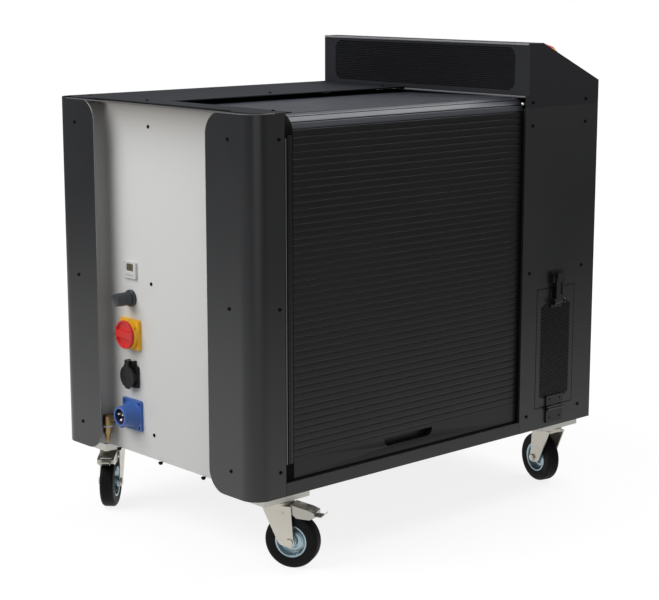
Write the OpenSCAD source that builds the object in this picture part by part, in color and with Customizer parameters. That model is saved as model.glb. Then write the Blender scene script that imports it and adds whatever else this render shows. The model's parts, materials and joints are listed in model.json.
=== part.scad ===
// Mobile laser cleaning machine: sheet-metal cabinet on four swivel casters.
// X runs along the cabinet from the supply end (-X) to the console (+X), Y across it,
// with the roller shutter at -Y. The origin is on the floor under the cabinet's middle.

/* [Cabinet] */
// Length of the cabinet
body_l = 1004; // [990:1:1020]
// Width of the cabinet
body_w = 654; // [644:1:664]
// Height of the cabinet without its console
body_h = 750; // [742:1:758]
// Height of the cabinet's underside above the floor
ground_z = 153; // [150:1:158]
// Thickness of the cover sheets
sheet_t = 2; // [1.5:0.1:2.2]

/* [Corner covers] */
// Width of the flap on the supply end
flap_w = 140; // [130:1:150]
// Width of the flange on the long side
flange_w = 80; // [76:1:80]
// Outer radius of the vertical bend
bend_r = 38; // [30:1:40]
// Radius of the flap's free corners
flap_corner_r = 46; // [20:1:50]
// How far the white end panel lies behind the flaps
recess_d = 46; // [44:1:50]

/* [Shutter] */
// Distance from one slat to the next
slat_pitch = 13.96; // [13.8:0.02:13.96]
// Number of slats on the upright stretch
slat_count = 46; // [42:1:46]
// Number of slats round the corner and along the top
top_slat_count = 30; // [26:1:30]
// Thickness of a slat
slat_t = 6; // [4:0.5:6]
// How far the slats lie behind the long side
slat_y = 10; // [9:0.5:11]
// Radius of the slats' outer face at the top corner
turn_r = 36; // [34:1:38]
// Fall of the top run, in degrees
run_fall = 1.3; // [1:0.1:1.5]
// Height of the bottom rail
rail_h = 44.8; // [40:0.2:44.8]

/* [Console] */
// Depth of the console along the cabinet
console_l = 232; // [225:1:236]
// Height of the console above the top cover
console_h = 109; // [100:1:114]
// Width of the level strip on top of the console
strip_w = 43; // [38:1:48]
// Height of the console's outer edge above the top cover
edge_h = 23; // [18:1:28]

/* [Casters] */
// Wheel diameter
wheel_d = 111; // [106:1:111]
// Tyre width
tyre_w = 30; // [26:1:30]
// Distance of the swivel axis from the cabinet's supply end
caster_x = 94; // [92:1:98]
// Distance of the swivel axis from the cabinet's long side
caster_y = 44; // [42:1:48]
// Distance of the axle behind the swivel axis
trail = 33; // [32:1:34]

/* [Hidden] */
$fn = 64;
eps = 0.01;

// Cabinet places, measured from its lower corner at the supply end on the shutter side
console_x = body_l - console_l;         // outer face of the console's back wall
side_x = console_x - 10;                // left edge of the side panel beside the shutter
seam_z = body_h - 29;                   // joint between side panel and console cheek
cut_x = 100;                            // left edge of the cut-out in the top cover
cut_y = 378;                            // far edge of that cut-out
frame_s = 30;                           // square tube of the welded frame
frame_wall = 2.5;
run_y = 626;                            // end of the shutter's tracks on the far side
fit_gap = 0.2;                          // gap between neighbouring covers
running = 0.05;                         // radial clearance of a turning fit

cove_y = 121;                           // where the end panel starts to curve outwards

// Shutter path
turn_z = body_h - 5.5 - turn_r;         // where the upright stretch ends
turn_deg = 90 + run_fall;
turn_len = turn_r * turn_deg * PI / 180;
slat_s0 = 6.6;                          // joint between curtain and top slats, along the path
curtain_z1 = turn_z + slat_s0;
curtain_z0 = curtain_z1 - slat_count * slat_pitch;
lip_gap = 0.8;                          // slack between slat and track lips
lip_t = 2;
lip_w_left = 24;
lip_w_right = 4;
track_x0 = flange_w + 1;                // outer face of the left track's web
track_x1 = console_x - 2;
slat_x0 = track_x0 + 3;
slat_x1 = track_x1 - 3;
rail_z0 = curtain_z0 - rail_h;
sill_h = rail_z0 - 1.5;

// Grip in the bottom rail
grip_x = (slat_x0 + slat_x1) / 2;
grip_w = 140;
grip_h = 18;
grip_z = rail_z0 + 27;
grip_cup_d = 20;

// Filter door
door_x0 = side_x + 50;
door_x1 = door_x0 + 127;
door_z0 = 48;
door_z1 = 320;
door_gap = 1.5;
door_mid = (door_x0 + door_x1) / 2;
door_pin_y = -5;                        // hinge pin in front of the panel
door_pin_z = door_z0 - 4;
latch_pin_y = -9;
latch_pin_z = door_z1 - 32;

// Fittings on the end panel, all on one column
col_y = 456;
meter_z = 396;
cap_z = 336;
switch_z = 260;
socket_z = 168.5;
inlet_z = 85;
coupling_y = 524;
coupling_x = 24;
lid_pin_x = recess_d - 8;
lid_pin_z = socket_z + 31;

// Console slope
slope_deg = atan((console_h - edge_h) / (console_l - strip_w));
slope_len = norm([console_l - strip_w, console_h - edge_h]);
estop_at = [88, 68];
knob_at = [80, 590];
start_at = [130, 590];
screen_at = [100, 340];
screen_size = [130, 210];

// Caster heights above the floor
axle_z = wheel_d / 2;
pad_t = 16;
crown_z = 126;
crown_t = 3;
leg_t = 2.5;
leg_in = 20;                            // inner face of a fork leg from the middle
king_r = 6;
axle_r = 6;
pedal_pin = [20, 116];                  // pedal pivot: behind the swivel axis, above the floor
rim_r = 32;
caster_x2 = body_l - caster_x + 8;      // the console end's casters stand a little nearer to their end
caster_y2 = body_w - caster_y - 4;
caster_sites = [[caster_x, caster_y, -61], [caster_x, caster_y2, -137],
    [caster_x2, caster_y, 78], [caster_x2, caster_y2, 80]];

// Fan
fan_c = [door_mid, 108, 190];
fan_r = 52;

// ---------- helpers ----------
module cab() { translate([-body_l / 2, -body_w / 2, ground_z]) children(); }
module box(p, q) { translate(p) cube(q - p); }
// Draws a (Y, Z) outline and gives it a length along X
module along_x(x0, len) { translate([x0, 0, 0]) rotate([90, 0, 90]) linear_extrude(len) children(); }
// Draws an (X, Z) outline and gives it a length along Y
module along_y(y0, len) { translate([0, y0 + len, 0]) rotate([90, 0, 0]) linear_extrude(len) children(); }
// Stands a shape that was made along +Z on the end panel, pointing out of it
module on_end(y, z, x = recess_d) { translate([x, y, z]) rotate([0, -90, 0]) children(); }
// Stands a shape on the console's slope: d down the slope, y across
module on_slope(d, y) {
    translate([console_x + strip_w, y, body_h + console_h]) rotate([0, slope_deg, 0])
        translate([d, 0, 0]) children();
}
module round_rect(w, h, r) {
    square([w - 2 * r, h], center = true);
    square([w, h - 2 * r], center = true);
    for (sx = [-1, 1], sy = [-1, 1])
        translate([sx * (w / 2 - r), sy * (h / 2 - r)]) circle(r);
}
// What a square corner loses when it is rounded; the corner is at the origin, inside at +, +
module corner_off(r) {
    difference() {
        translate([-1, -1]) square(r + 1);
        translate([r, r]) circle(r);
    }
}

// ---------- screws ----------
head_r = 4;
head_h = 2.2;
pan_head_h = 5.6;                       // tall button heads that hang under the floor pan
pan_head_r = 5;
shank_r = 2;
rows_z = [52, 375, 700];
side_rows_z = [36, 359.5, 683];
// Screw sites: place of the head's seat and the way the head points
end_sites = concat(
    [for (y = [72, body_w - 72], z = rows_z) [[0, y, z], "-x"]],
    [for (z = rows_z) [[recess_d, 385, z], "-x"]]);
near_sites = concat(
    [for (z = rows_z) [[66, 0, z], "-y"]],
    [for (x = [785, 961], z = side_rows_z) [[x, 0, z], "-y"]],
    [for (x = [785, 961]) [[x, 0, body_h - 17], "-y"]]);
far_sites = concat(
    [for (x = [66, 120, 420, 720], z = rows_z) [[x, body_w, z], "+y"]],
    [for (x = [785, 961], z = side_rows_z) [[x, body_w, z], "+y"]],
    [for (x = [785, 961]) [[x, body_w, body_h - 17], "+y"]]);
back_sites = [for (y = [72, 327, 582], z = side_rows_z) [[body_l, y, z], "+x"]];
top_sites = concat([[[90, 45, body_h], "+z"]],
    [for (y = [420, 625], x = [70, 400, 740]) [[x, y, body_h], "+z"]]);
pan_sites = [for (x = [42, body_l - 12], y = [214, 359, 508]) [[x, y, 0], "-z"]];
all_sites = concat(end_sites, near_sites, far_sites, back_sites, top_sites, pan_sites);
function turn_of(way) =
    way == "-x" ? [0, -90, 0] : way == "+x" ? [0, 90, 0] : way == "-y" ? [90, 0, 0]
    : way == "+y" ? [-90, 0, 0] : way == "-z" ? [180, 0, 0] : [0, 0, 0];
module screw(rise = head_h, wide = head_r) {
    difference() {
        union() {
            cylinder(r = wide, h = rise, $fn = 32);
            translate([0, 0, -sheet_t]) cylinder(r = shank_r, h = sheet_t + eps, $fn = 32);
        }
        translate([0, 0, rise - 1.4]) cylinder(r = 2.2, h = 2, $fn = 6);
    }
}
module drills(sites) {
    for (s = sites) translate(s[0]) rotate(turn_of(s[1]))
        translate([0, 0, -3 * sheet_t]) cylinder(r = shank_r + 0.1, h = 4 * sheet_t, $fn = 32);
}
module cover_screws() {
    color([0.08, 0.08, 0.09]) cab() for (s = all_sites) translate(s[0]) rotate(turn_of(s[1]))
        screw(s[1] == "-z" ? pan_head_h : head_h, s[1] == "-z" ? pan_head_r : head_r);
}

// ---------- frame ----------
module tube(p, size, way) {
    w = frame_wall;
    inner = [for (i = [0:2]) i == way ? size[i] + 2 : size[i] - 2 * w];
    shift = [for (i = [0:2]) i == way ? -1 : w];
    translate(p) difference() {
        cube(size);
        translate(shift) cube(inner);
    }
}
module base_frame() {
    x0 = 56;
    x1 = body_l - 6 - frame_s;
    y0 = 28;
    y1 = body_w - 6 - frame_s;
    z0 = sheet_t + fit_gap;
    top = 660;
    color([0.16, 0.16, 0.17]) cab() {
        for (y = [y0, y1]) tube([x0, y, z0], [x1 + frame_s - x0, frame_s, frame_s], 0);
        for (x = [x0, x1]) tube([x, y0 + frame_s, z0], [frame_s, y1 - y0 - frame_s, frame_s], 1);
        for (x = [x0, x1], y = [y0, y1])
            tube([x, y, z0 + frame_s], [frame_s, frame_s, top - z0 - frame_s], 2);
        for (x = [x0, x1]) tube([x, y0 + frame_s, top - frame_s], [frame_s, y1 - y0 - frame_s, frame_s], 1);
    }
}
module floor_pan() {
    color([0.2, 0.2, 0.21]) cab() difference() {
        box([recess_d + sheet_t + fit_gap, sheet_t + fit_gap, 0],
            [body_l - sheet_t - fit_gap, body_w - sheet_t - fit_gap, sheet_t]);
        drills(pan_sites);
        for (x = [250, 450, 650]) translate([x, body_w - 150, -1]) cylinder(r = 25, h = 4);
    }
}

// ---------- casters ----------
module at_site(i) {
    s = caster_sites[i];
    translate([s[0] - body_l / 2, s[1] - body_w / 2, 0]) rotate(s[2]) children();
}
// Pads and top plates stay square to the cabinet
module caster_plates() {
    top = ground_z - fit_gap / 2;
    color([0.72, 0.72, 0.70]) for (i = [0:3]) {
        s = caster_sites[i];
        translate([s[0] - body_l / 2, s[1] - body_w / 2, 0]) mirror([0, i % 2, 0]) {
            difference() {
                union() {
                    translate([-59, -30, top - pad_t]) cube([118, 87, pad_t]);
                    translate([0, 0, crown_z + crown_t + 5.5])
                        cylinder(r = 24, h = top - pad_t - crown_z - crown_t - 5.5 + eps);
                }
                for (sx = [-40, 40], sy = [-20, 42])
                    translate([sx, sy, top - pad_t - 1]) cylinder(r = 4.5, h = 7, $fn = 32);
            }
            // kingpin with its lower head
            translate([0, 0, crown_z - 4]) cylinder(r = king_r, h = top - pad_t - crown_z + 5);
            translate([0, 0, crown_z - 7]) cylinder(r = 10, h = 6.5);
        }
    }
}
// One fork leg as an (X, Z) outline
module leg_outline() {
    difference() {
        union() {
            polygon([[-26.5, crown_z + crown_t], [9, axle_z - 1], [14, axle_z - 6], [24, axle_z - 8.5],
                [trail + 5, axle_z - 8.5], [trail + 8.5, axle_z - 3], [trail + 3, crown_z + crown_t]]);
            translate([trail, axle_z]) circle(10.5);
        }
        translate([trail, axle_z]) circle(axle_r);
        translate(pedal_pin) circle(3);
    }
}
module fork(i) {
    color([0.76, 0.75, 0.70]) at_site(i) {
        difference() {
            union() {
                for (s = [-1, 1]) along_y(s * (leg_in + leg_t / 2) - leg_t / 2, leg_t) leg_outline();
                translate([-26.4, -leg_in - eps, crown_z]) cube([52.4, 2 * leg_in + 2 * eps, crown_t]);
                translate([0, 0, crown_z + crown_t - eps]) cylinder(r = 28, h = 5);
            }
            translate([0, 0, crown_z - 5]) cylinder(r = king_r + running, h = 20);
            translate([0, 0, crown_z + crown_t + 1]) cylinder(r = 20, h = 10);
        }
        // axle bolt with its head and nut
        translate([trail, 0, axle_z]) rotate([90, 0, 0]) {
            cylinder(r = axle_r, h = 2 * (leg_in + leg_t), center = true);
            for (s = [-1, 1]) translate([0, 0, s * (leg_in + leg_t + 2)])
                cylinder(r = 8, h = 4, center = true, $fn = 6);
        }
        if (i > 1) translate([pedal_pin[0], 0, pedal_pin[1]]) rotate([90, 0, 0])
            cylinder(r = 3, h = 2 * (leg_in + leg_t), center = true, $fn = 32);
    }
}
// Pressed steel rim: hub tube, dished web, barrel with rolled lips
module rim(i) {
    lip = tyre_w / 2 - 1;
    color([0.62, 0.66, 0.70]) at_site(i) translate([trail, 0, axle_z]) rotate([90, 0, 0]) rotate_extrude()
        polygon([[axle_r + running, -17], [11, -17], [11, -4], [rim_r - 5, -4], [rim_r - 3, -lip - 0.6],
            [rim_r + 1, -lip - 0.6], [rim_r + 1, -lip + 0.6], [rim_r, -lip + 1], [rim_r, lip - 1],
            [rim_r + 1, lip - 0.6], [rim_r + 1, lip + 0.6], [rim_r - 3, lip + 0.6], [rim_r - 5, 4],
            [11, 4], [11, 17], [axle_r + running, 17]]);
}
// Rubber tyre with rounded shoulders and three tread grooves
module tyre(i) {
    r = wheel_d / 2;
    h = tyre_w / 2;
    round_r = 7;
    groove = 1.2;
    color([0.07, 0.07, 0.07]) at_site(i) translate([trail, 0, axle_z]) rotate([90, 0, 0]) rotate_extrude() {
        difference() {
            union() {
                translate([rim_r + 1.1, -h]) square([r - rim_r - 1.1 - round_r, 2 * h]);
                translate([rim_r + 0.1, -h + 2.2]) square([r - rim_r - round_r - 0.1, 2 * h - 4.4]);
                translate([r - round_r - eps, -h + round_r]) square([round_r + eps, 2 * h - 2 * round_r]);
                for (s = [-1, 1]) translate([r - round_r, s * (h - round_r)]) intersection() {
                    circle(round_r);
                    translate([-eps, s > 0 ? 0 : -round_r]) square([round_r + eps, round_r]);
                }
            }
            for (z = [-5, 0, 5]) translate([r - groove, z - groove / 2]) square([2 * groove, groove]);
        }
    }
}
// Brake pedal: folded channel between the fork legs with a raised bead and a toe step
module pedal(i) {
    half = 18.4;
    wall = 1.6;
    color([0.55, 0.56, 0.55]) at_site(i) difference() {
        union() {
            along_y(-half, 2 * half)
                polygon([[34, 131.6], [70, 124], [84, 118.5], [84, 110], [82, 110], [82, 117.2], [69.4, 122.1],
                    [34, 129.6]]);
            for (s = [-1, 1]) along_y(s * (half - wall / 2) - wall / 2, wall)
                polygon([[14, 120], [22, 124], [31, 125], [34, 131.6], [70, 124], [84, 118.5], [84, 110],
                    [74, 104.5], [62, 104.5], [46, 105.5], [38, 112.6], [14, 112.4]]);
            along_y(-13, 26) polygon([[74, 121.4], [75.5, 123.8], [79.5, 122.2], [81, 118.9]]);
            along_y(-12, 24) polygon([[83, 112], [95, 111.4], [102.5, 117.5], [102.5, 115.2], [95.6, 109.4],
                [83, 110]]);
            // pivot pin
            translate([pedal_pin[0], 0, pedal_pin[1]]) rotate([90, 0, 0])
                cylinder(r = 3 - running, h = 2 * (leg_in + leg_t), center = true, $fn = 32);
            // brake shoe that comes down to the tyre when the pedal is pressed
            along_y(-10, 20) polygon([[40, 129.3], [54, 126.4], [54, 115.4], [40, 116.4]]);
        }
    }
}

// ---------- covers ----------
module post_cover() {
    color([0.24, 0.25, 0.26]) cab() difference() {
        linear_extrude(body_h) {
            translate([bend_r, bend_r]) intersection() {
                difference() {
                    circle(bend_r, $fn = 96);
                    circle(bend_r - sheet_t, $fn = 96);
                }
                translate([-bend_r, -bend_r]) square(bend_r);
            }
            translate([0, bend_r]) square([sheet_t, flap_w - bend_r]);
            translate([bend_r, 0]) square([flange_w - bend_r, sheet_t]);
        }
        along_x(-1, 4) {
            translate([flap_w, 0]) rotate(90) corner_off(flap_corner_r);
            translate([flap_w, body_h]) rotate(180) corner_off(flap_corner_r);
        }
        drills(end_sites);
        drills(near_sites);
    }
}
module post_cover_near() post_cover();
module post_cover_far() mirror([0, 1, 0]) post_cover();
module end_panel() {
    cove_r = recess_d - 4;
    color([0.86, 0.86, 0.85]) cab() difference() {
        linear_extrude(body_h - 4) {
            translate([recess_d, cove_y]) square([sheet_t, body_w - 2 * cove_y]);
            for (m = [0, 1]) translate([0, m * body_w]) mirror([0, m]) {
                translate([4, cove_y]) intersection() {
                    difference() {
                        circle(cove_r + sheet_t, $fn = 96);
                        circle(cove_r, $fn = 96);
                    }
                    translate([0, -60]) square(60);
                }
                translate([sheet_t + fit_gap, 52]) square([4 - sheet_t - fit_gap, cove_y - cove_r - 52]);
            }
        }
        drills(end_sites);
    }
}
module top_cover() {
    inset = sheet_t + 0.5;
    edge_x = recess_d - 6;
    ear_x = 22;
    ear_r = 36;
    color([0.29, 0.30, 0.33]) cab() difference() {
        translate([0, 0, body_h - sheet_t]) linear_extrude(sheet_t) {
            translate([edge_x, cove_y]) square([100, body_w - 2 * cove_y]);
            translate([ear_x + ear_r, inset]) square([console_x - 1 - ear_x - ear_r, body_w - 2 * inset]);
            for (m = [0, 1]) translate([0, m * body_w]) mirror([0, m]) difference() {
                union() {
                    translate([ear_x, inset + ear_r]) square([ear_r + 1, cove_y - inset - ear_r + 1]);
                    translate([ear_x + ear_r, inset + ear_r]) circle(ear_r);
                }
                translate([4, cove_y]) circle(edge_x - 4);
            }
        }
        box([cut_x, -1, body_h - 20], [console_x + 1, cut_y, body_h + 1]);
        drills(top_sites);
    }
}
module sill() {
    color([0.24, 0.24, 0.25]) cab() along_x(flange_w + 0.5, side_x - flange_w - 1) {
        square([sheet_t, sill_h]);
        translate([0, sill_h - sheet_t]) square([24, sheet_t]);
    }
}

// ---------- shutter ----------
// Points of the path at depth d behind the slats' outer face: up, round the corner, along the run
function path_line(d, z_low, run) = let (c = [slat_y + turn_r, turn_z], r = turn_r - d) concat(
    [[slat_y + d, z_low]],
    [for (k = [0:16]) let (a = 180 - k * turn_deg / 16) c + r * [cos(a), sin(a)]],
    [c + [run * cos(run_fall) + r * sin(run_fall), r * cos(run_fall) - run * sin(run_fall)]]);
function reversed(list) = [for (k = [len(list) - 1:-1:0]) list[k]];
// The path as a band between two depths
module path_band(d0, d1, z_low, run) {
    polygon(concat(path_line(d0, z_low, run), reversed(path_line(d1, z_low, run))));
}
// A channel along the path: x0 is its low side in X, open_x where its hollow starts
module track(x0, lip_w, open_x) {
    run = (run_y - slat_y - turn_r) / cos(run_fall);
    z_low = sill_h + 0.5;
    color([0.17, 0.17, 0.18]) cab() difference() {
        along_x(x0, lip_w + 2) path_band(-lip_gap - lip_t, slat_t + lip_gap + lip_t, z_low, run);
        along_x(open_x, lip_w + 1) path_band(-lip_gap, slat_t + lip_gap, z_low - 1, run + 1);
    }
}
module track_left() track(track_x0, lip_w_left, track_x0 + 2);
module track_right() track(track_x1 - 2 - lip_w_right, lip_w_right, track_x1 - 3 - lip_w_right);
// One slat's section: outer face at the left, standing on the path
module slat() {
    a = slat_pitch / 2 - 0.3;
    polygon([[0.9, -a], [0, -a + 0.9], [0, a - 0.9], [0.9, a], [slat_t, a - 1.7], [slat_t, -a + 1.7]]);
}
// Puts a slat at distance s along the path, counted from the start of the turn
module slat_at(s) {
    if (s < 0) translate([slat_y, turn_z + s]) slat();
    else translate([slat_y + turn_r, turn_z]) rotate(-min(s, turn_len) / turn_len * turn_deg)
        translate([-turn_r, max(0, s - turn_len)]) slat();
}
module slats(first, count, way) {
    color([0.13, 0.135, 0.14]) cab() along_x(slat_x0, slat_x1 - slat_x0)
        for (k = [0:count - 1]) slat_at(first + way * k * slat_pitch);
}
module shutter_curtain() slats(slat_s0 - slat_pitch / 2, slat_count, -1);
module shutter_top() slats(slat_s0 + slat_pitch / 2, top_slat_count, 1);
module grip_outline(w, h) {
    r = h - 2;
    difference() {
        translate([-w / 2, -h / 2]) square([w, h]);
        for (m = [0, 1]) mirror([m, 0]) translate([-w / 2, -h / 2]) corner_off(r);
    }
}
module shutter_bar() {
    wall = 2;
    color([0.14, 0.145, 0.15]) cab() difference() {
        union() {
            box([slat_x0, slat_y, rail_z0], [slat_x1, slat_y + slat_t, rail_z0 + rail_h - 0.4]);
            translate([grip_x, slat_y + 1, grip_z]) rotate([-90, 0, 0]) mirror([0, 1])
                linear_extrude(grip_cup_d + wall) grip_outline(grip_w + 2 * wall, grip_h + 2 * wall);
        }
        translate([grip_x, slat_y - 1, grip_z]) rotate([-90, 0, 0]) mirror([0, 1])
            linear_extrude(grip_cup_d + 1) grip_outline(grip_w, grip_h);
    }
}

// ---------- console and side panels ----------
module cheek_outline() {
    polygon([[side_x, seam_z], [body_l, seam_z], [body_l, body_h + edge_h],
        [console_x + strip_w, body_h + console_h], [console_x, body_h + console_h],
        [console_x, body_h], [side_x, body_h]]);
}
module console_housing() {
    t = sheet_t;
    color([0.16, 0.165, 0.175]) cab() difference() {
        union() {
            for (y = [0, body_w - t]) along_y(y, t) cheek_outline();
            along_y(t - eps, body_w - 2 * t + 2 * eps) difference() {
                cheek_outline();
                translate([-t, -t]) cheek_cut();
            }
        }
        on_slope(estop_at[0], estop_at[1]) cylinder(r = 11.2, h = 20, center = true);
        on_slope(knob_at[0], knob_at[1]) cylinder(r = 6 + running, h = 20, center = true);
        on_slope(start_at[0], start_at[1]) cylinder(r = 11 + running, h = 20, center = true);
        drills(near_sites);
        drills(far_sites);
    }
}
// The hollow below the folded sheet
module cheek_cut() {
    t = sheet_t;
    polygon([[side_x - 10, seam_z - 5], [body_l, seam_z - 5], [body_l, body_h + edge_h + 0.5],
        [console_x + strip_w + 1.4, body_h + console_h], [console_x - 10, body_h + console_h]]);
}
module console_back() {
    slot_w = 2.4;
    slot_n = 120;
    field_w = 579;
    field_h = 88;
    pitch = field_w / slot_n;
    mid = [(35 + 614) / 2, body_h + 55];
    r = 22;
    color([0.36, 0.37, 0.41]) cab() along_x(console_x, sheet_t) difference() {
        translate([sheet_t + fit_gap, body_h + fit_gap])
            square([body_w - 2 * sheet_t - 2 * fit_gap, console_h - sheet_t - 2 * fit_gap]);
        for (k = [0:slot_n - 1]) {
            d = (k + 0.5) * pitch - field_w / 2;
            in = max(0, abs(d) - field_w / 2 + r);
            h = field_h - 2 * r + 2 * sqrt(r * r - in * in);
            translate([mid[0] + d - slot_w / 2, mid[1] - h / 2]) square([slot_w, h]);
        }
    }
}
module side_panel_near() {
    color([0.22, 0.22, 0.23]) cab() difference() {
        union() {
            box([side_x, 0, 0], [body_l, sheet_t, seam_z - fit_gap]);
            box([side_x, 0, sheet_t + fit_gap], [side_x + sheet_t, 6, seam_z - fit_gap]);
        }
        box([door_x0, -1, door_z0], [door_x1, 3, door_z1]);
        drills(near_sites);
    }
}
module side_panel_far() {
    y = body_w - sheet_t;
    color([0.22, 0.22, 0.23]) cab() difference() {
        union() {
            box([flange_w + 0.5, y, 0], [side_x - 0.5, body_w, body_h]);
            box([side_x - 0.5, y, 0], [body_l, body_w, seam_z - fit_gap]);
        }
        drills(far_sites);
    }
}
module console_end_panel() {
    color([0.22, 0.22, 0.23]) cab() difference() {
        box([body_l - sheet_t, sheet_t + fit_gap, 0],
            [body_l, body_w - sheet_t - fit_gap, seam_z - fit_gap]);
        drills(back_sites);
    }
}

// ---------- filter door ----------
module filter_door() {
    w = door_x1 - door_x0 - 2 * door_gap;
    h = door_z1 - door_z0 - 2 * door_gap;
    mid_z = (door_z0 + door_z1) / 2;
    field = [105, 224];
    r = 20;
    slot_n = 46;
    slot_h = 2.6;
    pitch = field[1] / slot_n;
    color([0.22, 0.22, 0.23]) cab() difference() {
        union() {
            box([door_mid - w / 2, 0, mid_z - h / 2], [door_mid + w / 2, sheet_t, mid_z + h / 2]);
            for (s = [-1, 1]) translate([door_mid + s * (w / 2 - 1) - 1, 0, mid_z - h / 2 + 14])
                cube([2, 9, h - 14]);
        }
        for (k = [0:slot_n - 1]) {
            d = (k + 0.5) * pitch - field[1] / 2;
            in = max(0, abs(d) - field[1] / 2 + r);
            fw = field[0] - 2 * r + 2 * sqrt(r * r - in * in);
            translate([door_mid - fw / 2, -1, mid_z - 8 + d - slot_h / 2]) cube([fw, 4, slot_h]);
        }
    }
}
module filter_mat() {
    color([0.75, 0.75, 0.72]) cab()
        box([door_mid - 57, 12, door_z0 + 12], [door_mid + 57, 22, door_z1 - 12]);
}
// Fixed hinge leaf with the two outer knuckles and the pin, and the strike plate above the door
module door_fittings() {
    r = 5;
    color([0.06, 0.06, 0.06]) cab() {
        translate([door_mid, door_pin_y, door_pin_z]) {
            for (s = [-1, 1]) translate([s * 19, 0, 0]) rotate([0, 90, 0])
                cylinder(r = r, h = 17, center = true);
            rotate([0, 90, 0]) cylinder(r = 2, h = 55, center = true);
            for (s = [-1, 1]) translate([s * 19 - 8.5, 1, -12]) cube([17, 4 - eps, 12]);
            difference() {
                translate([-27.5, -door_pin_y - 4, -33]) cube([55, 4, 27]);
                for (s = [-1, 1]) translate([s * 17, -5, -22]) rotate([-90, 0, 0]) cylinder(r = 2.6, h = 12);
            }
        }
        translate([door_mid, 0, door_z1 + 5]) {
            translate([-22, -4, 0]) cube([44, 4, 32]);
            for (s = [-1, 1]) translate([s * 17 - 3, -10, 6]) cube([6, 7, 20]);
        }
    }
}
module door_hinge_leaf() {
    r = 5;
    color([0.06, 0.06, 0.06]) cab() translate([door_mid, door_pin_y, door_pin_z]) difference() {
        union() {
            rotate([0, 90, 0]) cylinder(r = r, h = 20, center = true);
            translate([-10, 1, 0]) cube([20, 4, 12]);
            translate([-27.5, 1, door_z0 + door_gap - door_pin_z + 1]) cube([55, 4, 22]);
        }
        rotate([0, 90, 0]) cylinder(r = 2 + running, h = 70, center = true);
        for (s = [-1, 1]) translate([s * 17, -5, 20]) rotate([-90, 0, 0]) cylinder(r = 2.6, h = 12);
    }
}
// The latch rides on the door; its lever reaches up over the strike plate
module latch_base() {
    color([0.06, 0.06, 0.06]) cab() translate([door_mid, 0, latch_pin_z]) difference() {
        union() {
            translate([-18, -3, -14]) cube([36, 3, 40]);
            for (s = [-1, 1]) translate([s * 15.5 - 2.5, 0, 0]) {
                translate([0, latch_pin_y, -7]) cube([5, -latch_pin_y - 1, 14]);
                translate([0, latch_pin_y, 0]) rotate([0, 90, 0]) cylinder(r = 7, h = 5);
            }
        }
        translate([-30, latch_pin_y, 0]) rotate([0, 90, 0]) cylinder(r = 2.5, h = 60);
    }
}
module latch_lever() {
    color([0.09, 0.08, 0.08]) cab() translate([door_mid, latch_pin_y, latch_pin_z]) {
        rotate([0, 90, 0]) cylinder(r = 2.5 - running, h = 37, center = true);
        difference() {
            union() {
                rotate([0, 90, 0]) cylinder(r = 5, h = 25, center = true);
                translate([-12, -4, 0]) cube([24, 6, 64]);
                translate([-12, -7, 52]) cube([24, 5, 12]);
            }
            translate([-7, -5, 16]) cube([14, 3, 28]);
        }
    }
}

// ---------- fittings on the end panel ----------
module meter() {
    color([0.92, 0.92, 0.90]) cab() on_end(col_y, meter_z) difference() {
        linear_extrude(5) round_rect(36, 45, 3);
        translate([-3, -14, 4]) cube([19, 28, 2]);
        for (k = [-1, 0, 1]) translate([-11, k * 9, 4.2]) cylinder(r = 2, h = 2, $fn = 32);
    }
}
module connector_base() {
    color([0.20, 0.22, 0.22]) cab() on_end(col_y, cap_z) difference() {
        union() {
            rotate_extrude() polygon([[0, 0], [18, 0], [18, 6], [17, 7.5], [15, 7.5], [0, 7.5]]);
            cylinder(r = 9, h = 22);
        }
        translate([0, 0, 4]) cylinder(r = 6, h = 20);
    }
}
// Screw cap over the connector, closed at its tip
module connector_cap() {
    color([0.22, 0.25, 0.24]) cab() on_end(col_y, cap_z) rotate_extrude()
        polygon([[9 + running, 8], [15, 8], [15, 12], [14.2, 13], [14.2, 32], [13.4, 33], [13.4, 41],
            [12.4, 43.5], [6, 44.5], [0, 45], [0, 24], [9 + running, 24]]);
}
module switch_plate() {
    color([0.92, 0.72, 0.08]) cab() on_end(col_y, switch_z) difference() {
        union() {
            linear_extrude(8) round_rect(64, 64, 4);
            cylinder(r = 31.5, h = 17);
        }
        translate([0, 0, -1]) cylinder(r = 8 + running, h = 20);
        // padlock hole through the collar's side
        rotate(-60) translate([27, 0, 12.5]) rotate([0, 90, 0]) cylinder(r = 2.5, h = 8, $fn = 32);
    }
}
module switch_handle() {
    color([0.85, 0.10, 0.08]) cab() on_end(col_y, switch_z) difference() {
        union() {
            translate([0, 0, 1]) cylinder(r = 8, h = 18);
            translate([0, 0, 17.5]) cylinder(r = 30, h = 5.8);
        }
        for (s = [-1, 1]) translate([0, 0, 19.5]) linear_extrude(20) intersection() {
            circle(26);
            translate([s * 25, 0]) square([34, 70], center = true);
        }
    }
}
module socket_body() {
    color([0.07, 0.07, 0.075]) cab() on_end(col_y, socket_z) difference() {
        union() {
            linear_extrude(8) round_rect(47, 47, 5);
            cylinder(r = 23, h = 12);
            for (s = [-1, 1]) translate([20, s * 11 - 3, 0]) cube([14, 6, 11]);
        }
        translate([0, 0, 3]) cylinder(r = 19.5, h = 20);
        translate([lid_pin_z - socket_z, 0, recess_d - lid_pin_x]) rotate([90, 0, 0])
            cylinder(r = 2, h = 60, center = true);
    }
}
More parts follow.
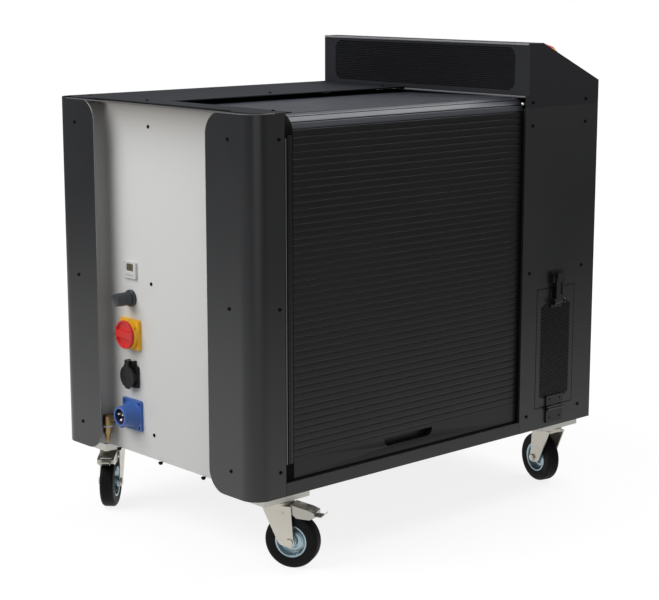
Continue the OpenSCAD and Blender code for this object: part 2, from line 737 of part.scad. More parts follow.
module socket_lid() {
    pin = [lid_pin_z - socket_z, 0, recess_d - lid_pin_x];
    color([0.09, 0.09, 0.095]) cab() on_end(col_y, socket_z) {
        difference() {
            union() {
                translate([0, 0, 12.5]) cylinder(r = 24, h = 5);
                translate([16, -7.5, 12.5]) cube([15, 15, 5]);
                translate(pin) rotate([90, 0, 0]) cylinder(r = 3.6, h = 15, center = true);
                translate([pin[0] - 3.6, -7.5, pin[2]]) cube([7.2, 15, 9.5]);
                translate([-26, -6, 13.5]) cube([6, 12, 4]);
            }
        }
        translate(pin) rotate([90, 0, 0]) cylinder(r = 2 - running, h = 28, center = true);
    }
}
module inlet_housing() {
    color([0.10, 0.22, 0.62]) cab() on_end(col_y, inlet_z) difference() {
        union() {
            linear_extrude(6) round_rect(66, 66, 4);
            rotate_extrude() polygon([[0, 0], [28, 0], [28, 6], [26.5, 9], [24, 20], [21.2, 37.5],
                [20.2, 38.5], [0, 38.5]]);
            // key rib under the collar
            translate([-24, -4, 0]) cube([6, 8, 36]);
        }
        translate([0, 0, 10]) cylinder(r = 17, h = 40);
        for (s = [-1, 1], t = [-1, 1]) translate([s * 26, t * 26, 2]) cylinder(r = 3.2, h = 6, $fn = 32);
        for (a = pin_angles) rotate(a) translate([pin_r, 0, 3]) cylinder(r = a == 180 ? 3 : 2.4, h = 12);
    }
}
pin_angles = [180, 60, -60];
pin_r = 8;
module inlet_pins() {
    color([0.80, 0.78, 0.70]) cab() on_end(col_y, inlet_z) for (a = pin_angles)
        rotate(a) translate([pin_r, 0, 3]) {
            cylinder(r = a == 180 ? 3 : 2.4, h = 31, $fn = 32);
            translate([0, 0, 31 - eps]) cylinder(r1 = a == 180 ? 3 : 2.4, r2 = 1.4, h = 2, $fn = 32);
        }
}
module air_coupling() {
    arm = recess_d - coupling_x;
    color([0.62, 0.50, 0.28]) cab() {
        difference() {
            union() {
                on_end(coupling_y, 63) cylinder(r = 12, h = 5, $fn = 6);
                on_end(coupling_y, 63) cylinder(r = 8.5, h = arm);
                translate([coupling_x, coupling_y, 0]) rotate_extrude()
                    polygon([[0, 14], [4, 14], [5, 15], [5, 18], [6, 20], [5, 21], [6.2, 25], [5.4, 26],
                        [6.6, 31], [6.6, 34], [10, 34], [10, 47], [11.5, 47.5], [11.5, 51.5], [10.5, 52],
                        [10.5, 71], [8, 74], [0, 74]]);
            }
            translate([coupling_x, coupling_y, 10]) cylinder(r = 3, h = 50, $fn = 32);
        }
    }
}

// ---------- console controls ----------
module estop_collar() {
    color([0.93, 0.75, 0.05]) cab() on_slope(estop_at[0], estop_at[1]) difference() {
        union() {
            rotate_extrude() polygon([[0, 0], [29, 0], [29, 3], [27, 17], [25.5, 20], [0, 20]]);
            translate([0, 0, -14]) cylinder(r = 11, h = 15);
        }
        translate([0, 0, -15]) cylinder(r = 6 + running, h = 40);
        translate([0, 0, 12]) cylinder(r = 22, h = 10);
    }
}
module estop_button() {
    color([0.80, 0.06, 0.05]) cab() on_slope(estop_at[0], estop_at[1]) {
        translate([0, 0, -12]) cylinder(r = 6, h = 34);
        rotate_extrude() polygon([[0, 18.5], [18, 18.5], [20, 20], [20, 23], [17, 26], [10, 27.6], [0, 28]]);
    }
}
module touch_panel() {
    w = screen_size[0];
    h = screen_size[1];
    color([0.10, 0.10, 0.11]) cab() on_slope(screen_at[0], screen_at[1]) difference() {
        linear_extrude(6) round_rect(w, h, 6);
        translate([-w / 2 + 12, -h / 2 + 12, 5]) cube([w - 24, h - 24, 2]);
    }
}
// Turn knob: its spindle runs in the console's sheet
module selector_knob() {
    color([0.10, 0.10, 0.11]) cab() on_slope(knob_at[0], knob_at[1]) {
        translate([0, 0, -12]) cylinder(r = 6, h = 14);
        translate([0, 0, 0.5]) cylinder(r = 15, h = 6);
        translate([-4, -14, 6]) cube([8, 28, 10]);
    }
}
module start_button() {
    color([0.10, 0.50, 0.20]) cab() on_slope(start_at[0], start_at[1]) {
        translate([0, 0, -10]) cylinder(r = 11, h = 14);
        translate([0, 0, 3]) cylinder(r = 13, h = 5);
    }
}

// ---------- inside ----------
module storage_bin() {
    x0 = track_x0 + 8;
    x1 = track_x1 - 26;
    y0 = 60;
    y1 = 300;
    z0 = 34;
    z1 = 715;
    t = sheet_t;
    color([0.30, 0.30, 0.31]) cab() {
        box([x0, y0, z0], [x0 + t, y1, z1]);
        box([x1 - t, y0, z0], [x1, y1, z1]);
        box([x0, y1 - t, z0], [x1, y1, z1]);
        box([x0, y0, z0], [x1, y1, z0 + t]);
    }
}
module laser_source() {
    color([0.35, 0.36, 0.38]) cab() {
        box([120, 330, 33], [560, 600, 200]);
        box([150, 340, 200 - eps], [530, 590, 216]);
    }
}
module coolant_tank() {
    color([0.80, 0.83, 0.84]) cab() {
        box([600, 340, 33], [740, 600, 300]);
        translate([630, 575, 300 - eps]) cylinder(r = 22, h = 18);
    }
}
module coolant_pump() {
    color([0.20, 0.30, 0.50]) cab() {
        translate([690, 470, 390]) rotate([90, 0, 0]) cylinder(r = 38, h = 130, center = true);
        box([650, 410, 300.1], [730, 530, 356]);
        translate([690, 410, 390]) rotate([90, 0, 0]) cylinder(r = 14, h = 40);
    }
}
// Finned core with a shroud of four plates round the fan and a hub for it
module radiator() {
    x = fan_c[0];
    z = fan_c[2];
    w = fan_r + 10;
    color([0.55, 0.57, 0.58]) cab() {
        difference() {
            box([x - w, 40, z - 130], [x + w, 72, z + 110]);
            for (k = [0:21]) box([x - w + 6, 39, z - 124 + k * 10.4], [x + w - 6, 43, z - 118 + k * 10.4]);
        }
        for (s = [-1, 1]) {
            box([x - w, 72 + fit_gap, z + s * (w - 3) - 3], [x + w, 128, z + s * (w - 3) + 3]);
            box([x + s * (w - 3) - 3, 72 + fit_gap, z - w + 6 + fit_gap],
                [x + s * (w - 3) + 3, 128, z + w - 6 - fit_gap]);
        }
    }
    color([0.1, 0.1, 0.1]) cab() translate([x, 72 - eps, z]) rotate([-90, 0, 0]) cylinder(r = 6, h = 26);
}
module fan_rotor() {
    color([0.08, 0.08, 0.08]) cab() translate(fan_c) rotate([-90, 0, 0]) difference() {
        union() {
            translate([0, 0, -20]) cylinder(r = 18, h = 32);
            for (k = [0:6]) rotate(k * 360 / 7) translate([10, 0, -4]) rotate([35, 0, 0])
                cube([fan_r - 12, 2.4, 22], center = false);
        }
        translate([0, 0, -21]) cylinder(r = 6 + running, h = 12);
    }
}

module fork_1() fork(0);
module fork_2() fork(1);
module fork_3() fork(2);
module fork_4() fork(3);
module rim_1() rim(0);
module rim_2() rim(1);
module rim_3() rim(2);
module rim_4() rim(3);
module tyre_1() tyre(0);
module tyre_2() tyre(1);
module tyre_3() tyre(2);
module tyre_4() tyre(3);
module pedal_1() pedal(0);
module pedal_2() pedal(1);

base_frame();
floor_pan();
caster_plates();
post_cover_near();
post_cover_far();
end_panel();
top_cover();
sill();
track_left();
track_right();
shutter_top();
console_housing();
console_back();
side_panel_near();
side_panel_far();
console_end_panel();
shutter_curtain();
shutter_bar();
filter_door();
filter_mat();
door_fittings();
door_hinge_leaf();
latch_base();
latch_lever();
meter();
connector_base();
connector_cap();
switch_plate();
switch_handle();
socket_body();
socket_lid();
inlet_housing();
inlet_pins();
air_coupling();
estop_collar();
estop_button();
touch_panel();
selector_knob();
start_button();
fork_1();
fork_2();
fork_3();
fork_4();
rim_1();
rim_2();
rim_3();
rim_4();
tyre_1();
tyre_2();
tyre_3();
tyre_4();
pedal_1();
pedal_2();
storage_bin();
laser_source();
coolant_tank();
coolant_pump();
radiator();
fan_rotor();
cover_screws();
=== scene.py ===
import json
import math

import bmesh
import bpy
import numpy as np
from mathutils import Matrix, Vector


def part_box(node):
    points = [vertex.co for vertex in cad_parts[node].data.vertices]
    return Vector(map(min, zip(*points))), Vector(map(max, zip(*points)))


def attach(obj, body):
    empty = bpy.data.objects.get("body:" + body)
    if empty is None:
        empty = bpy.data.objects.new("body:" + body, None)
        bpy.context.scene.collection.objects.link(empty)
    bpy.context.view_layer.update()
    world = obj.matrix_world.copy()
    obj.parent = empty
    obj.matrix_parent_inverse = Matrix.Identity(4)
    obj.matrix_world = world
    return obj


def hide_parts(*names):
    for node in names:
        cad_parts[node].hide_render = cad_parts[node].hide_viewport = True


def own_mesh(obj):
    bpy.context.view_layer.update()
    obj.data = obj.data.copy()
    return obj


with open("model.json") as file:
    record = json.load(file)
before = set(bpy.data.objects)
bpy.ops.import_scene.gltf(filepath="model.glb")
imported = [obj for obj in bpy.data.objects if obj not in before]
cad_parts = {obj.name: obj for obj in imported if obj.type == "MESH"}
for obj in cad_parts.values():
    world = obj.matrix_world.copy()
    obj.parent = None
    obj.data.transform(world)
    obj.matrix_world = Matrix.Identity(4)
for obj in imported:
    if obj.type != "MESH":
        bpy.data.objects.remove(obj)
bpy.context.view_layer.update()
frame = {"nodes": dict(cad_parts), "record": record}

nodes = frame["nodes"]
bodyOf = {n: b for b, members in frame["record"]["behaviour"]["bodies"].items() for n in members}
print("frame loaded,", len(nodes), "nodes")

# The cabinet's own millimetres: x along its length, y from the shutter side, z up from its underside;
# the end panel lies a recess behind the flaps, and the console starts at its own x
cabinet = {"length": 1004.0, "width": 654.0, "height": 750.0, "recess": 46.0, "console": 772.0}
corner = np.array(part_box("post_cover_near")[0], float)
groundZ = corner[2] * 1000


def place(points):
    # millimetres in the cabinet's frame to metres in the shared frame
    return np.asarray(points, float).reshape(-1, 3) / 1000 + corner


# Finishes
def linear(colour):
    # sRGB 0-255 to scene linear: below 0.04045 divided by 12.92, above it the 2.4 power curve
    c = np.asarray(colour, float) / 255
    return tuple(np.where(c <= 0.04045, c / 12.92, ((c + 0.055) / 1.055) ** 2.4)) + (1.0,)


# colours are sRGB; grain is a scale and a height of the bump, tone a scale and a spread of the colour,
# speckle how far the grain darkens it, roughVary how far the roughness strays, and stretch scales the
# grain's axes; shade is the height, reach and tint of a painted shade under an edge, laid into the colour
coat = {"rough": 0.3, "specular": 0.5, "grain": (1500, 0.04), "tone": (3.5, 0.08), "speckle": 0.1}
slatted = {"grain": (900, 0.03), "tone": (6, 0.1), "speckle": 0.05, "stretch": (0.02, 1, 1)}
moulded = {"rough": 0.34, "specular": 0.45, "grain": (1100, 0.07), "tone": (50, 0.1)}
finishes = {
    # sheet metal with a fine-texture powder coat
    "charcoalCoat": {**coat, "colour": (41, 42, 44)},
    "darkCoat": {**coat, "colour": (33, 33, 35), "rough": 0.34, "specular": 0.45},
    "consoleCoat": {**coat, "colour": (34, 35, 40), "rough": 0.34, "specular": 0.42},
    "sideCoat": {**coat, "colour": (42, 43, 45)},
    "topCoat": {**coat, "colour": (44, 46, 51), "rough": 0.55, "specular": 0.15, "tone": (3.0, 0.06),
        "speckle": 0.08},
    # the end panel: its colour darkens towards its top edge, a painted shade under the cover's edge
    "lightCoat": {"colour": (224, 224, 222), "rough": 0.45, "specular": 0.3, "grain": (1300, 0.08),
        "tone": (2.5, 0.02), "speckle": 0.015, "shade": (0.899, 0.05, (0.26, 0.24, 0.22))},
    # the flaps' free edges: light grey, a painted highlight where the edges catch light
    "flapEdgeHighlight": {"colour": (128, 130, 131), "rough": 0.45, "specular": 0.5, "grain": (1500, 0.08),
        "tone": (12, 0.12)},
    # the console's rounded top edge: light grey, a painted highlight where the edge catches light
    "topBead": {"colour": (140, 141, 145), "rough": 0.36, "specular": 0.5, "grain": (1500, 0.05),
        "tone": (6, 0.12), "speckle": 0.06},
    # the top cover's rounded edge: mid grey, a painted highlight where the edge catches light
    "beadHighlight": {"colour": (92, 92, 94), "rough": 0.36, "specular": 0.5, "grain": (1500, 0.05),
        "tone": (6, 0.12), "speckle": 0.06},
    "trackBlack": {"colour": (16, 16, 17), "rough": 0.7, "specular": 0.06, "grain": (1800, 0.1),
        "tone": (8, 0.12), "speckle": 0.08},
    "slatCoat": {**slatted, "colour": (28, 29, 31), "rough": 0.32, "specular": 0.3},
    # the slats on top: the same slats painted lighter and glossier, where light from above falls on them
    "slatTopLit": {**slatted, "colour": (62, 66, 75), "rough": 0.36, "specular": 0.6},
    "frameSteel": {"colour": (54, 54, 56), "rough": 0.6, "specular": 0.3, "grain": (1200, 0.15),
        "tone": (5, 0.15), "speckle": 0.08},
    "innerSheet": {"colour": (92, 92, 94), "rough": 0.55, "specular": 0.3, "grain": (1200, 0.1),
        "tone": (4, 0.1), "speckle": 0.06},
    # bare and plated metal
    "zinc": {"colour": (202, 198, 187), "rough": 0.36, "metal": 0.75, "grain": (420, 0.1),
        "tone": (70, 0.22), "roughVary": 0.1},
    "padZinc": {"colour": (214, 212, 204), "rough": 0.42, "metal": 0.6, "grain": (420, 0.08),
        "tone": (40, 0.1), "roughVary": 0.08},
    "pedalZinc": {"colour": (170, 168, 160), "rough": 0.28, "metal": 0.85, "grain": (420, 0.1),
        "tone": (45, 0.2), "roughVary": 0.1},
    "footEdge": {"colour": (118, 118, 124), "rough": 0.42, "metal": 0.5, "specular": 0.5,
        "grain": (900, 0.08), "tone": (8, 0.18)},
    "guideEdge": {"colour": (120, 122, 124), "rough": 0.4, "metal": 0.6, "specular": 0.5,
        "grain": (900, 0.08), "tone": (20, 0.1), "stretch": (1, 1, 0.04)},
    "rimSteel": {"colour": (160, 180, 188), "rough": 0.3, "metal": 0.85, "grain": (700, 0.08),
        "tone": (45, 0.16), "roughVary": 0.08},
    "brass": {"colour": (148, 126, 88), "rough": 0.36, "metal": 0.85, "grain": (900, 0.1),
        "tone": (120, 0.28), "roughVary": 0.1},
    "pinMetal": {"colour": (236, 232, 218), "rough": 0.28, "metal": 0.7, "grain": (1500, 0.06),
        "tone": (200, 0.08), "roughVary": 0.06},
    "finMetal": {"colour": (160, 163, 166), "rough": 0.45, "metal": 0.7, "grain": (900, 0.1),
        "tone": (30, 0.12), "roughVary": 0.1},
    "screwBlack": {"colour": (9, 9, 10), "rough": 0.6, "specular": 0.1, "grain": (2500, 0.08),
        "tone": (300, 0.15)},
    "fittingBlack": {"colour": (20, 20, 21), "rough": 0.42, "specular": 0.45, "grain": (1600, 0.12),
        "tone": (60, 0.15), "speckle": 0.08},
    # plastics, rubber, felt and glass
    "blackPlastic": {"colour": (13, 13, 14), "rough": 0.42, "specular": 0.28, "grain": (1400, 0.1),
        "tone": (80, 0.12)},
    "capPlastic": {"colour": (50, 55, 57), "rough": 0.36, "specular": 0.5, "grain": (1200, 0.08),
        "tone": (70, 0.1)},
    "whitePlastic": {"colour": (212, 212, 212), "rough": 0.38, "specular": 0.5, "grain": (1200, 0.06),
        "tone": (60, 0.03)},
    "yellowPlastic": {**moulded, "colour": (246, 186, 38), "rough": 0.36, "tone": (50, 0.08)},
    "redPlastic": {**moulded, "colour": (212, 34, 30)},
    "bluePlastic": {**moulded, "colour": (62, 102, 176), "specular": 0.5},
    # the inside of the inlet's well: a darker copy of the blue plastic, painted shade in the recess
    "wellShadeBlue": {**moulded, "colour": (40, 34, 70), "rough": 0.5, "specular": 0.3},
    "greenPlastic": {**moulded, "colour": (30, 130, 62), "specular": 0.5, "tone": (50, 0.08)},
    "tankPlastic": {"colour": (204, 212, 214), "rough": 0.45, "specular": 0.4, "grain": (600, 0.12),
        "tone": (12, 0.05)},
    "pumpPaint": {"colour": (52, 76, 126), "rough": 0.45, "specular": 0.4, "grain": (800, 0.15),
        "tone": (20, 0.12)},
    "rubber": {"colour": (11, 10, 11), "rough": 0.6, "specular": 0.16, "grain": (1300, 0.22),
        "tone": (70, 0.22), "speckle": 0.12},
    "felt": {"colour": (120, 119, 114), "rough": 0.95, "specular": 0.1, "grain": (700, 0.9),
        "tone": (40, 0.14), "speckle": 0.12},
    "screenGlass": {"colour": (20, 18, 16), "rough": 0.12, "specular": 0.5, "grain": (400, 0.015),
        "tone": (40, 0.2)},
    "displayBrown": {"colour": (92, 84, 66), "rough": 0.25, "specular": 0.5, "grain": (900, 0.02),
        "tone": (160, 0.3)},
    "labelTeal": {"colour": (96, 150, 146), "rough": 0.4, "specular": 0.4, "grain": (900, 0.04),
        "tone": (220, 0.3)},
}
noise = {"fineDetail": 3.0, "broadDetail": 4.0, "bumpDistance": 0.0002, "speckBand": (0.35, 0.65),
         "roughBand": (0.3, 0.7)}
made = {}


def paintedShade(tree, at, colour, top, reach, tint):
    # painted shade under an edge at height top: its share is e to the power of (z - top) / reach
    split = tree.nodes.new("ShaderNodeSeparateXYZ")
    tree.links.new(at, split.inputs[0])
    below = tree.nodes.new("ShaderNodeMath")
    below.operation = "MULTIPLY_ADD"
    below.inputs[1].default_value = 1 / reach
    below.inputs[2].default_value = -top / reach
    tree.links.new(split.outputs["Z"], below.inputs[0])
    share = tree.nodes.new("ShaderNodeMath")
    share.operation = "EXPONENT"
    share.use_clamp = True
    tree.links.new(below.outputs[0], share.inputs[0])
    shade = tree.nodes.new("ShaderNodeMix")
    shade.data_type = "RGBA"
    shade.blend_type = "MULTIPLY"
    shade.inputs[7].default_value = (*tint, 1)
    tree.links.new(share.outputs[0], shade.inputs[0])
    tree.links.new(colour, shade.inputs[6])
    return shade.outputs[2]


def finish(name):
    # One shader: fine noise raises the grain, broad noise shifts the tone and the roughness
    if name in made:
        return made[name]
    look = finishes[name]
    material = bpy.data.materials.new(name)
    material.use_nodes = True
    tree = material.node_tree
    shader = tree.nodes["Principled BSDF"]
    shader.inputs["Metallic"].default_value = look.get("metal", 0.0)
    shader.inputs["Specular IOR Level"].default_value = look.get("specular", 0.5)
    coords = tree.nodes.new("ShaderNodeTexCoord")
    mapping = tree.nodes.new("ShaderNodeMapping")
    mapping.inputs["Scale"].default_value = look.get("stretch", (1, 1, 1))
    tree.links.new(coords.outputs["Object"], mapping.inputs["Vector"])
    fine = tree.nodes.new("ShaderNodeTexNoise")
    fine.inputs["Scale"].default_value, bumpHeight = look["grain"]
    fine.inputs["Detail"].default_value = noise["fineDetail"]
    tree.links.new(mapping.outputs["Vector"], fine.inputs["Vector"])
    bump = tree.nodes.new("ShaderNodeBump")
    bump.inputs["Strength"].default_value = min(1.0, bumpHeight * 2)
    bump.inputs["Distance"].default_value = noise["bumpDistance"]
    tree.links.new(fine.outputs["Fac"], bump.inputs["Height"])
    tree.links.new(bump.outputs["Normal"], shader.inputs["Normal"])
    broad = tree.nodes.new("ShaderNodeTexNoise")
    broad.inputs["Scale"].default_value, spread = look["tone"]
    broad.inputs["Detail"].default_value = noise["broadDetail"]
    tree.links.new(coords.outputs["Object"], broad.inputs["Vector"])
    tone = tree.nodes.new("ShaderNodeMix")
    tone.data_type = "RGBA"
    base = np.array(linear(look["colour"])[:3])
    tone.inputs[6].default_value = tuple(base * (1 - spread)) + (1.0,)
    tone.inputs[7].default_value = tuple(np.minimum(base * (1 + spread), 1.0)) + (1.0,)
    tree.links.new(broad.outputs["Fac"], tone.inputs[0])
    colour = tone.outputs[2]
    if look.get("speckle"):
        speck = tree.nodes.new("ShaderNodeMix")
        speck.data_type = "RGBA"
        speck.blend_type = "MULTIPLY"
        shade = tree.nodes.new("ShaderNodeMapRange")
        shade.inputs["From Min"].default_value = noise["speckBand"][0]
        shade.inputs["From Max"].default_value = noise["speckBand"][1]
        shade.inputs["To Min"].default_value = 1 - 2 * look["speckle"]
        shade.inputs["To Max"].default_value = 1.0
        tree.links.new(fine.outputs["Fac"], shade.inputs["Value"])
        speck.inputs[0].default_value = 1.0
        tree.links.new(colour, speck.inputs[6])
        tree.links.new(shade.outputs["Result"], speck.inputs[7])
        colour = speck.outputs[2]
    # painted shade under an edge, where the finish has one
    if look.get("shade"):
        colour = paintedShade(tree, coords.outputs["Object"], colour, *look["shade"])
    tree.links.new(colour, shader.inputs["Base Color"])
    vary = look.get("roughVary", 0.05)
    rough = tree.nodes.new("ShaderNodeMapRange")
    rough.inputs["From Min"].default_value = noise["roughBand"][0]
    rough.inputs["From Max"].default_value = noise["roughBand"][1]
    rough.inputs["To Min"].default_value = look["rough"] - vary
    rough.inputs["To Max"].default_value = look["rough"] + vary
    tree.links.new(broad.outputs["Fac"], rough.inputs["Value"])
    tree.links.new(rough.outputs["Result"], shader.inputs["Roughness"])
    made[name] = material
    return material


# Mesh tools
def gridFaces(rows, columns, closeRows=False, closeColumns=False):
    # quads between neighbouring rows and columns of a grid of points
    i, j = np.meshgrid(np.arange(rows if closeRows else rows - 1),
                       np.arange(columns if closeColumns else columns - 1), indexing="ij")
    iNext, jNext = (i + 1) % rows, (j + 1) % columns
    quads = [i * columns + j, iNext * columns + j, iNext * columns + jNext, i * columns + jNext]
    return np.stack(quads, -1).reshape(-1, 4)


def gridPart(points, closeRows=False, closeColumns=False):
    # points[row, column] is a surface sampled on a grid
    rows, columns = points.shape[:2]
    return points.reshape(-1, 3), [gridFaces(rows, columns, closeRows, closeColumns)]


def turned(profile, segments=64, ribs=0, depth=0.0):
    # (radius, height) points turned round the local z axis; where there are ribs, each point's third
    # value is its share of their depth, and the radius shrinks between them as a cosine
    profile = np.asarray(profile, float)
    angle = np.linspace(0, 2 * math.pi, segments, endpoint=False)
    radius = profile[:, 0, None] * np.ones(segments)
    if ribs:
        wave = 0.5 - 0.5 * np.cos(ribs * angle)
        radius = radius - depth * wave * profile[:, 2, None]
    points = np.stack([radius * np.cos(angle), radius * np.sin(angle),
                       profile[:, 1, None] * np.ones(segments)], -1)
    return gridPart(points, closeColumns=True)


def rounded(points, radius, steps=4, closed=False):
    # a polyline whose corners are replaced by arcs of the given radius, or of one radius per corner;
    # nearly straight corners stay, and an arc takes less than half of either side
    points = np.asarray(points, float)
    radii = np.broadcast_to(np.asarray(radius, float), len(points))
    count, path = len(points), []
    for k in range(count):
        if (not closed and k in (0, count - 1)) or radii[k] <= 0:
            path.append(points[k][None])
            continue
        before, at, after = points[k - 1], points[k], points[(k + 1) % count]
        a, b = before - at, after - at
        la, lb = np.linalg.norm(a), np.linalg.norm(b)
        a, b = a / la, b / lb
        half = math.acos(float(np.clip(a @ b, -1, 1))) / 2
        if half > math.pi / 2 - 0.02:
            path.append(at[None])
            continue
        cut = min(radii[k] / math.tan(half), 0.49 * la, 0.49 * lb)
        r = cut * math.tan(half)
        centre = at + (a + b) / np.linalg.norm(a + b) * (r / math.sin(half))
        start, end = at + a * cut - centre, at + b * cut - centre
        turn = math.atan2(start[0] * end[1] - start[1] * end[0], start @ end)
        t = np.linspace(0, turn, steps + 1)
        path.append(centre + np.stack([start[0] * np.cos(t) - start[1] * np.sin(t),
                                       start[0] * np.sin(t) + start[1] * np.cos(t)], 1))
    return np.concatenate(path)


def prism(outline, low, high):
    # a flat closed outline given a height, with both ends closed
    outline = np.asarray(outline, float)
    n = len(outline)
    points = np.concatenate([np.c_[outline, np.full(n, low)], np.c_[outline, np.full(n, high)]])
    i = np.arange(n)
    sides = np.stack([i, (i + 1) % n, (i + 1) % n + n, i + n], 1)
    return points, [sides, i[::-1][None], (i + n)[None]]


def moved(part, change):
    # a part is its points and its lists of faces; the change is a function of all the points
    points, faces = part
    return change(points), faces


def shifted(part, x, y, z):
    return moved(part, lambda p: p + np.array([x, y, z], float))


def onEnd(part, y, z, x=cabinet["recess"]):
    # local z points out of the end panel, local x up
    return moved(part, lambda p: np.stack([x - p[:, 2], y + p[:, 1], z + p[:, 0]], 1))


# the console's slope falls from a level strip beside its upright back to a low edge
console = {"stripWidth": 43.0, "height": 109.0, "edge": 23.0, "length": 232.0}
slope = math.atan2(console["height"] - console["edge"], console["length"] - console["stripWidth"])


def onSlope(part, down, y):
    # local z stands on the console's slope, local x runs down it
    def change(p):
        along, up = down + p[:, 0], p[:, 2]
        x = cabinet["console"] + console["stripWidth"] + along * math.cos(slope) + up * math.sin(slope)
        z = cabinet["height"] + console["height"] - along * math.sin(slope) + up * math.cos(slope)
        return np.stack([x, y + p[:, 1], z], 1)
    return moved(part, change)


def onWay(part, at, way):
    # local z turned to one of the six directions, as a screw points
    axes = {"-x": ((0, 0, 1), (0, 1, 0), (-1, 0, 0)), "+x": ((0, 0, -1), (0, 1, 0), (1, 0, 0)),
            "-y": ((1, 0, 0), (0, 0, 1), (0, -1, 0)), "+y": ((1, 0, 0), (0, 0, -1), (0, 1, 0)),
            "+z": ((1, 0, 0), (0, 1, 0), (0, 0, 1)), "-z": ((1, 0, 0), (0, -1, 0), (0, 0, -1))}
    return moved(part, lambda p: p @ np.array(axes[way], float) + np.array(at, float))


mergeDistance = 2e-6                    # metres
flatAngle = 0.6                         # degrees within which neighbouring faces are one flat face


def makeMesh(name, parts, merge=True, closed=False):
    # joins the parts and merges doubles, so that poles and seams close; a closed mesh then gets
    # its normals turned outwards
    points, faces, start = [], [], 0
    for partPoints, sets in parts:
        points.append(partPoints)
        for block in sets:
            faces.extend((np.asarray(block) + start).tolist())
        start += len(partPoints)
    mesh = bpy.data.meshes.new(name)
    mesh.from_pydata(place(np.concatenate(points)).tolist(), [], faces)
    if merge:
        work = bmesh.new()
        work.from_mesh(mesh)
        bmesh.ops.remove_doubles(work, verts=work.verts, dist=mergeDistance)
        if closed:
            bmesh.ops.recalc_face_normals(work, faces=work.faces)
        work.to_mesh(mesh)
        work.free()
    return mesh


def addPiece(name, mesh, look, slot, replaces=(), body="cabinet", sharp=34, sheet=None, bevel=None,
             flat=False):
    # sheet is the wall's thickness and bevel the width of the broken edges, both in millimetres;
    # sharp is the angle in degrees past which an edge stays crisp
    piece = bpy.data.objects.new(name, mesh)
    bpy.context.scene.collection.objects.link(piece)
    mesh.materials.clear()
    mesh.materials.append(finish(look))
    if flat:
        mesh.shade_flat()
    else:
        mesh.shade_smooth()
        mesh.set_sharp_from_angle(angle=math.radians(sharp))
    if sheet:
        wall = piece.modifiers.new("sheet", "SOLIDIFY")
        wall.thickness = sheet / 1000
        wall.offset = -1
        wall.use_even_offset = True
    if bevel:
        edge = piece.modifiers.new("edge", "BEVEL")
        edge.width = bevel / 1000
        edge.segments = 2
        edge.limit_method = "ANGLE"
        edge.angle_limit = math.radians(sharp)
        edge.harden_normals = True
    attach(piece, body)
    if replaces:
        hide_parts(*replaces)
    return piece


def openPiece(name, parts, look, slot, replaces=(), body="cabinet", merge=True, **edges):
    # a skin: a sheet that gets its thickness, or a surface whose back never shows
    return addPiece(name, makeMesh(name, parts, merge), look, slot, replaces, body, **edges)


def closedPiece(name, parts, look, slot, replaces=(), body="cabinet", **edges):
    # a solid, its normals turned outwards
    return addPiece(name, makeMesh(name, parts, closed=True), look, slot, replaces, body, **edges)


def softened(node, look, slot, bevel):
    # the node's own shape with its triangles merged, flat faces joined and edges broken
    mesh = bpy.data.meshes.new(node + "_dressed")
    work = bmesh.new()
    work.from_mesh(nodes[node].data)
    bmesh.ops.remove_doubles(work, verts=work.verts, dist=mergeDistance)
    bmesh.ops.dissolve_limit(work, angle_limit=math.radians(flatAngle), verts=work.verts, edges=work.edges)
    work.to_mesh(mesh)
    work.free()
    return addPiece(mesh.name, mesh, look, slot, [node], bodyOf[node], sharp=30, bevel=bevel)


hexRise = 0.866                         # distance of staggered rows as a share of the pitch
fieldRim = 0.4                          # plain sheet left between a hole and the rounded field's edge


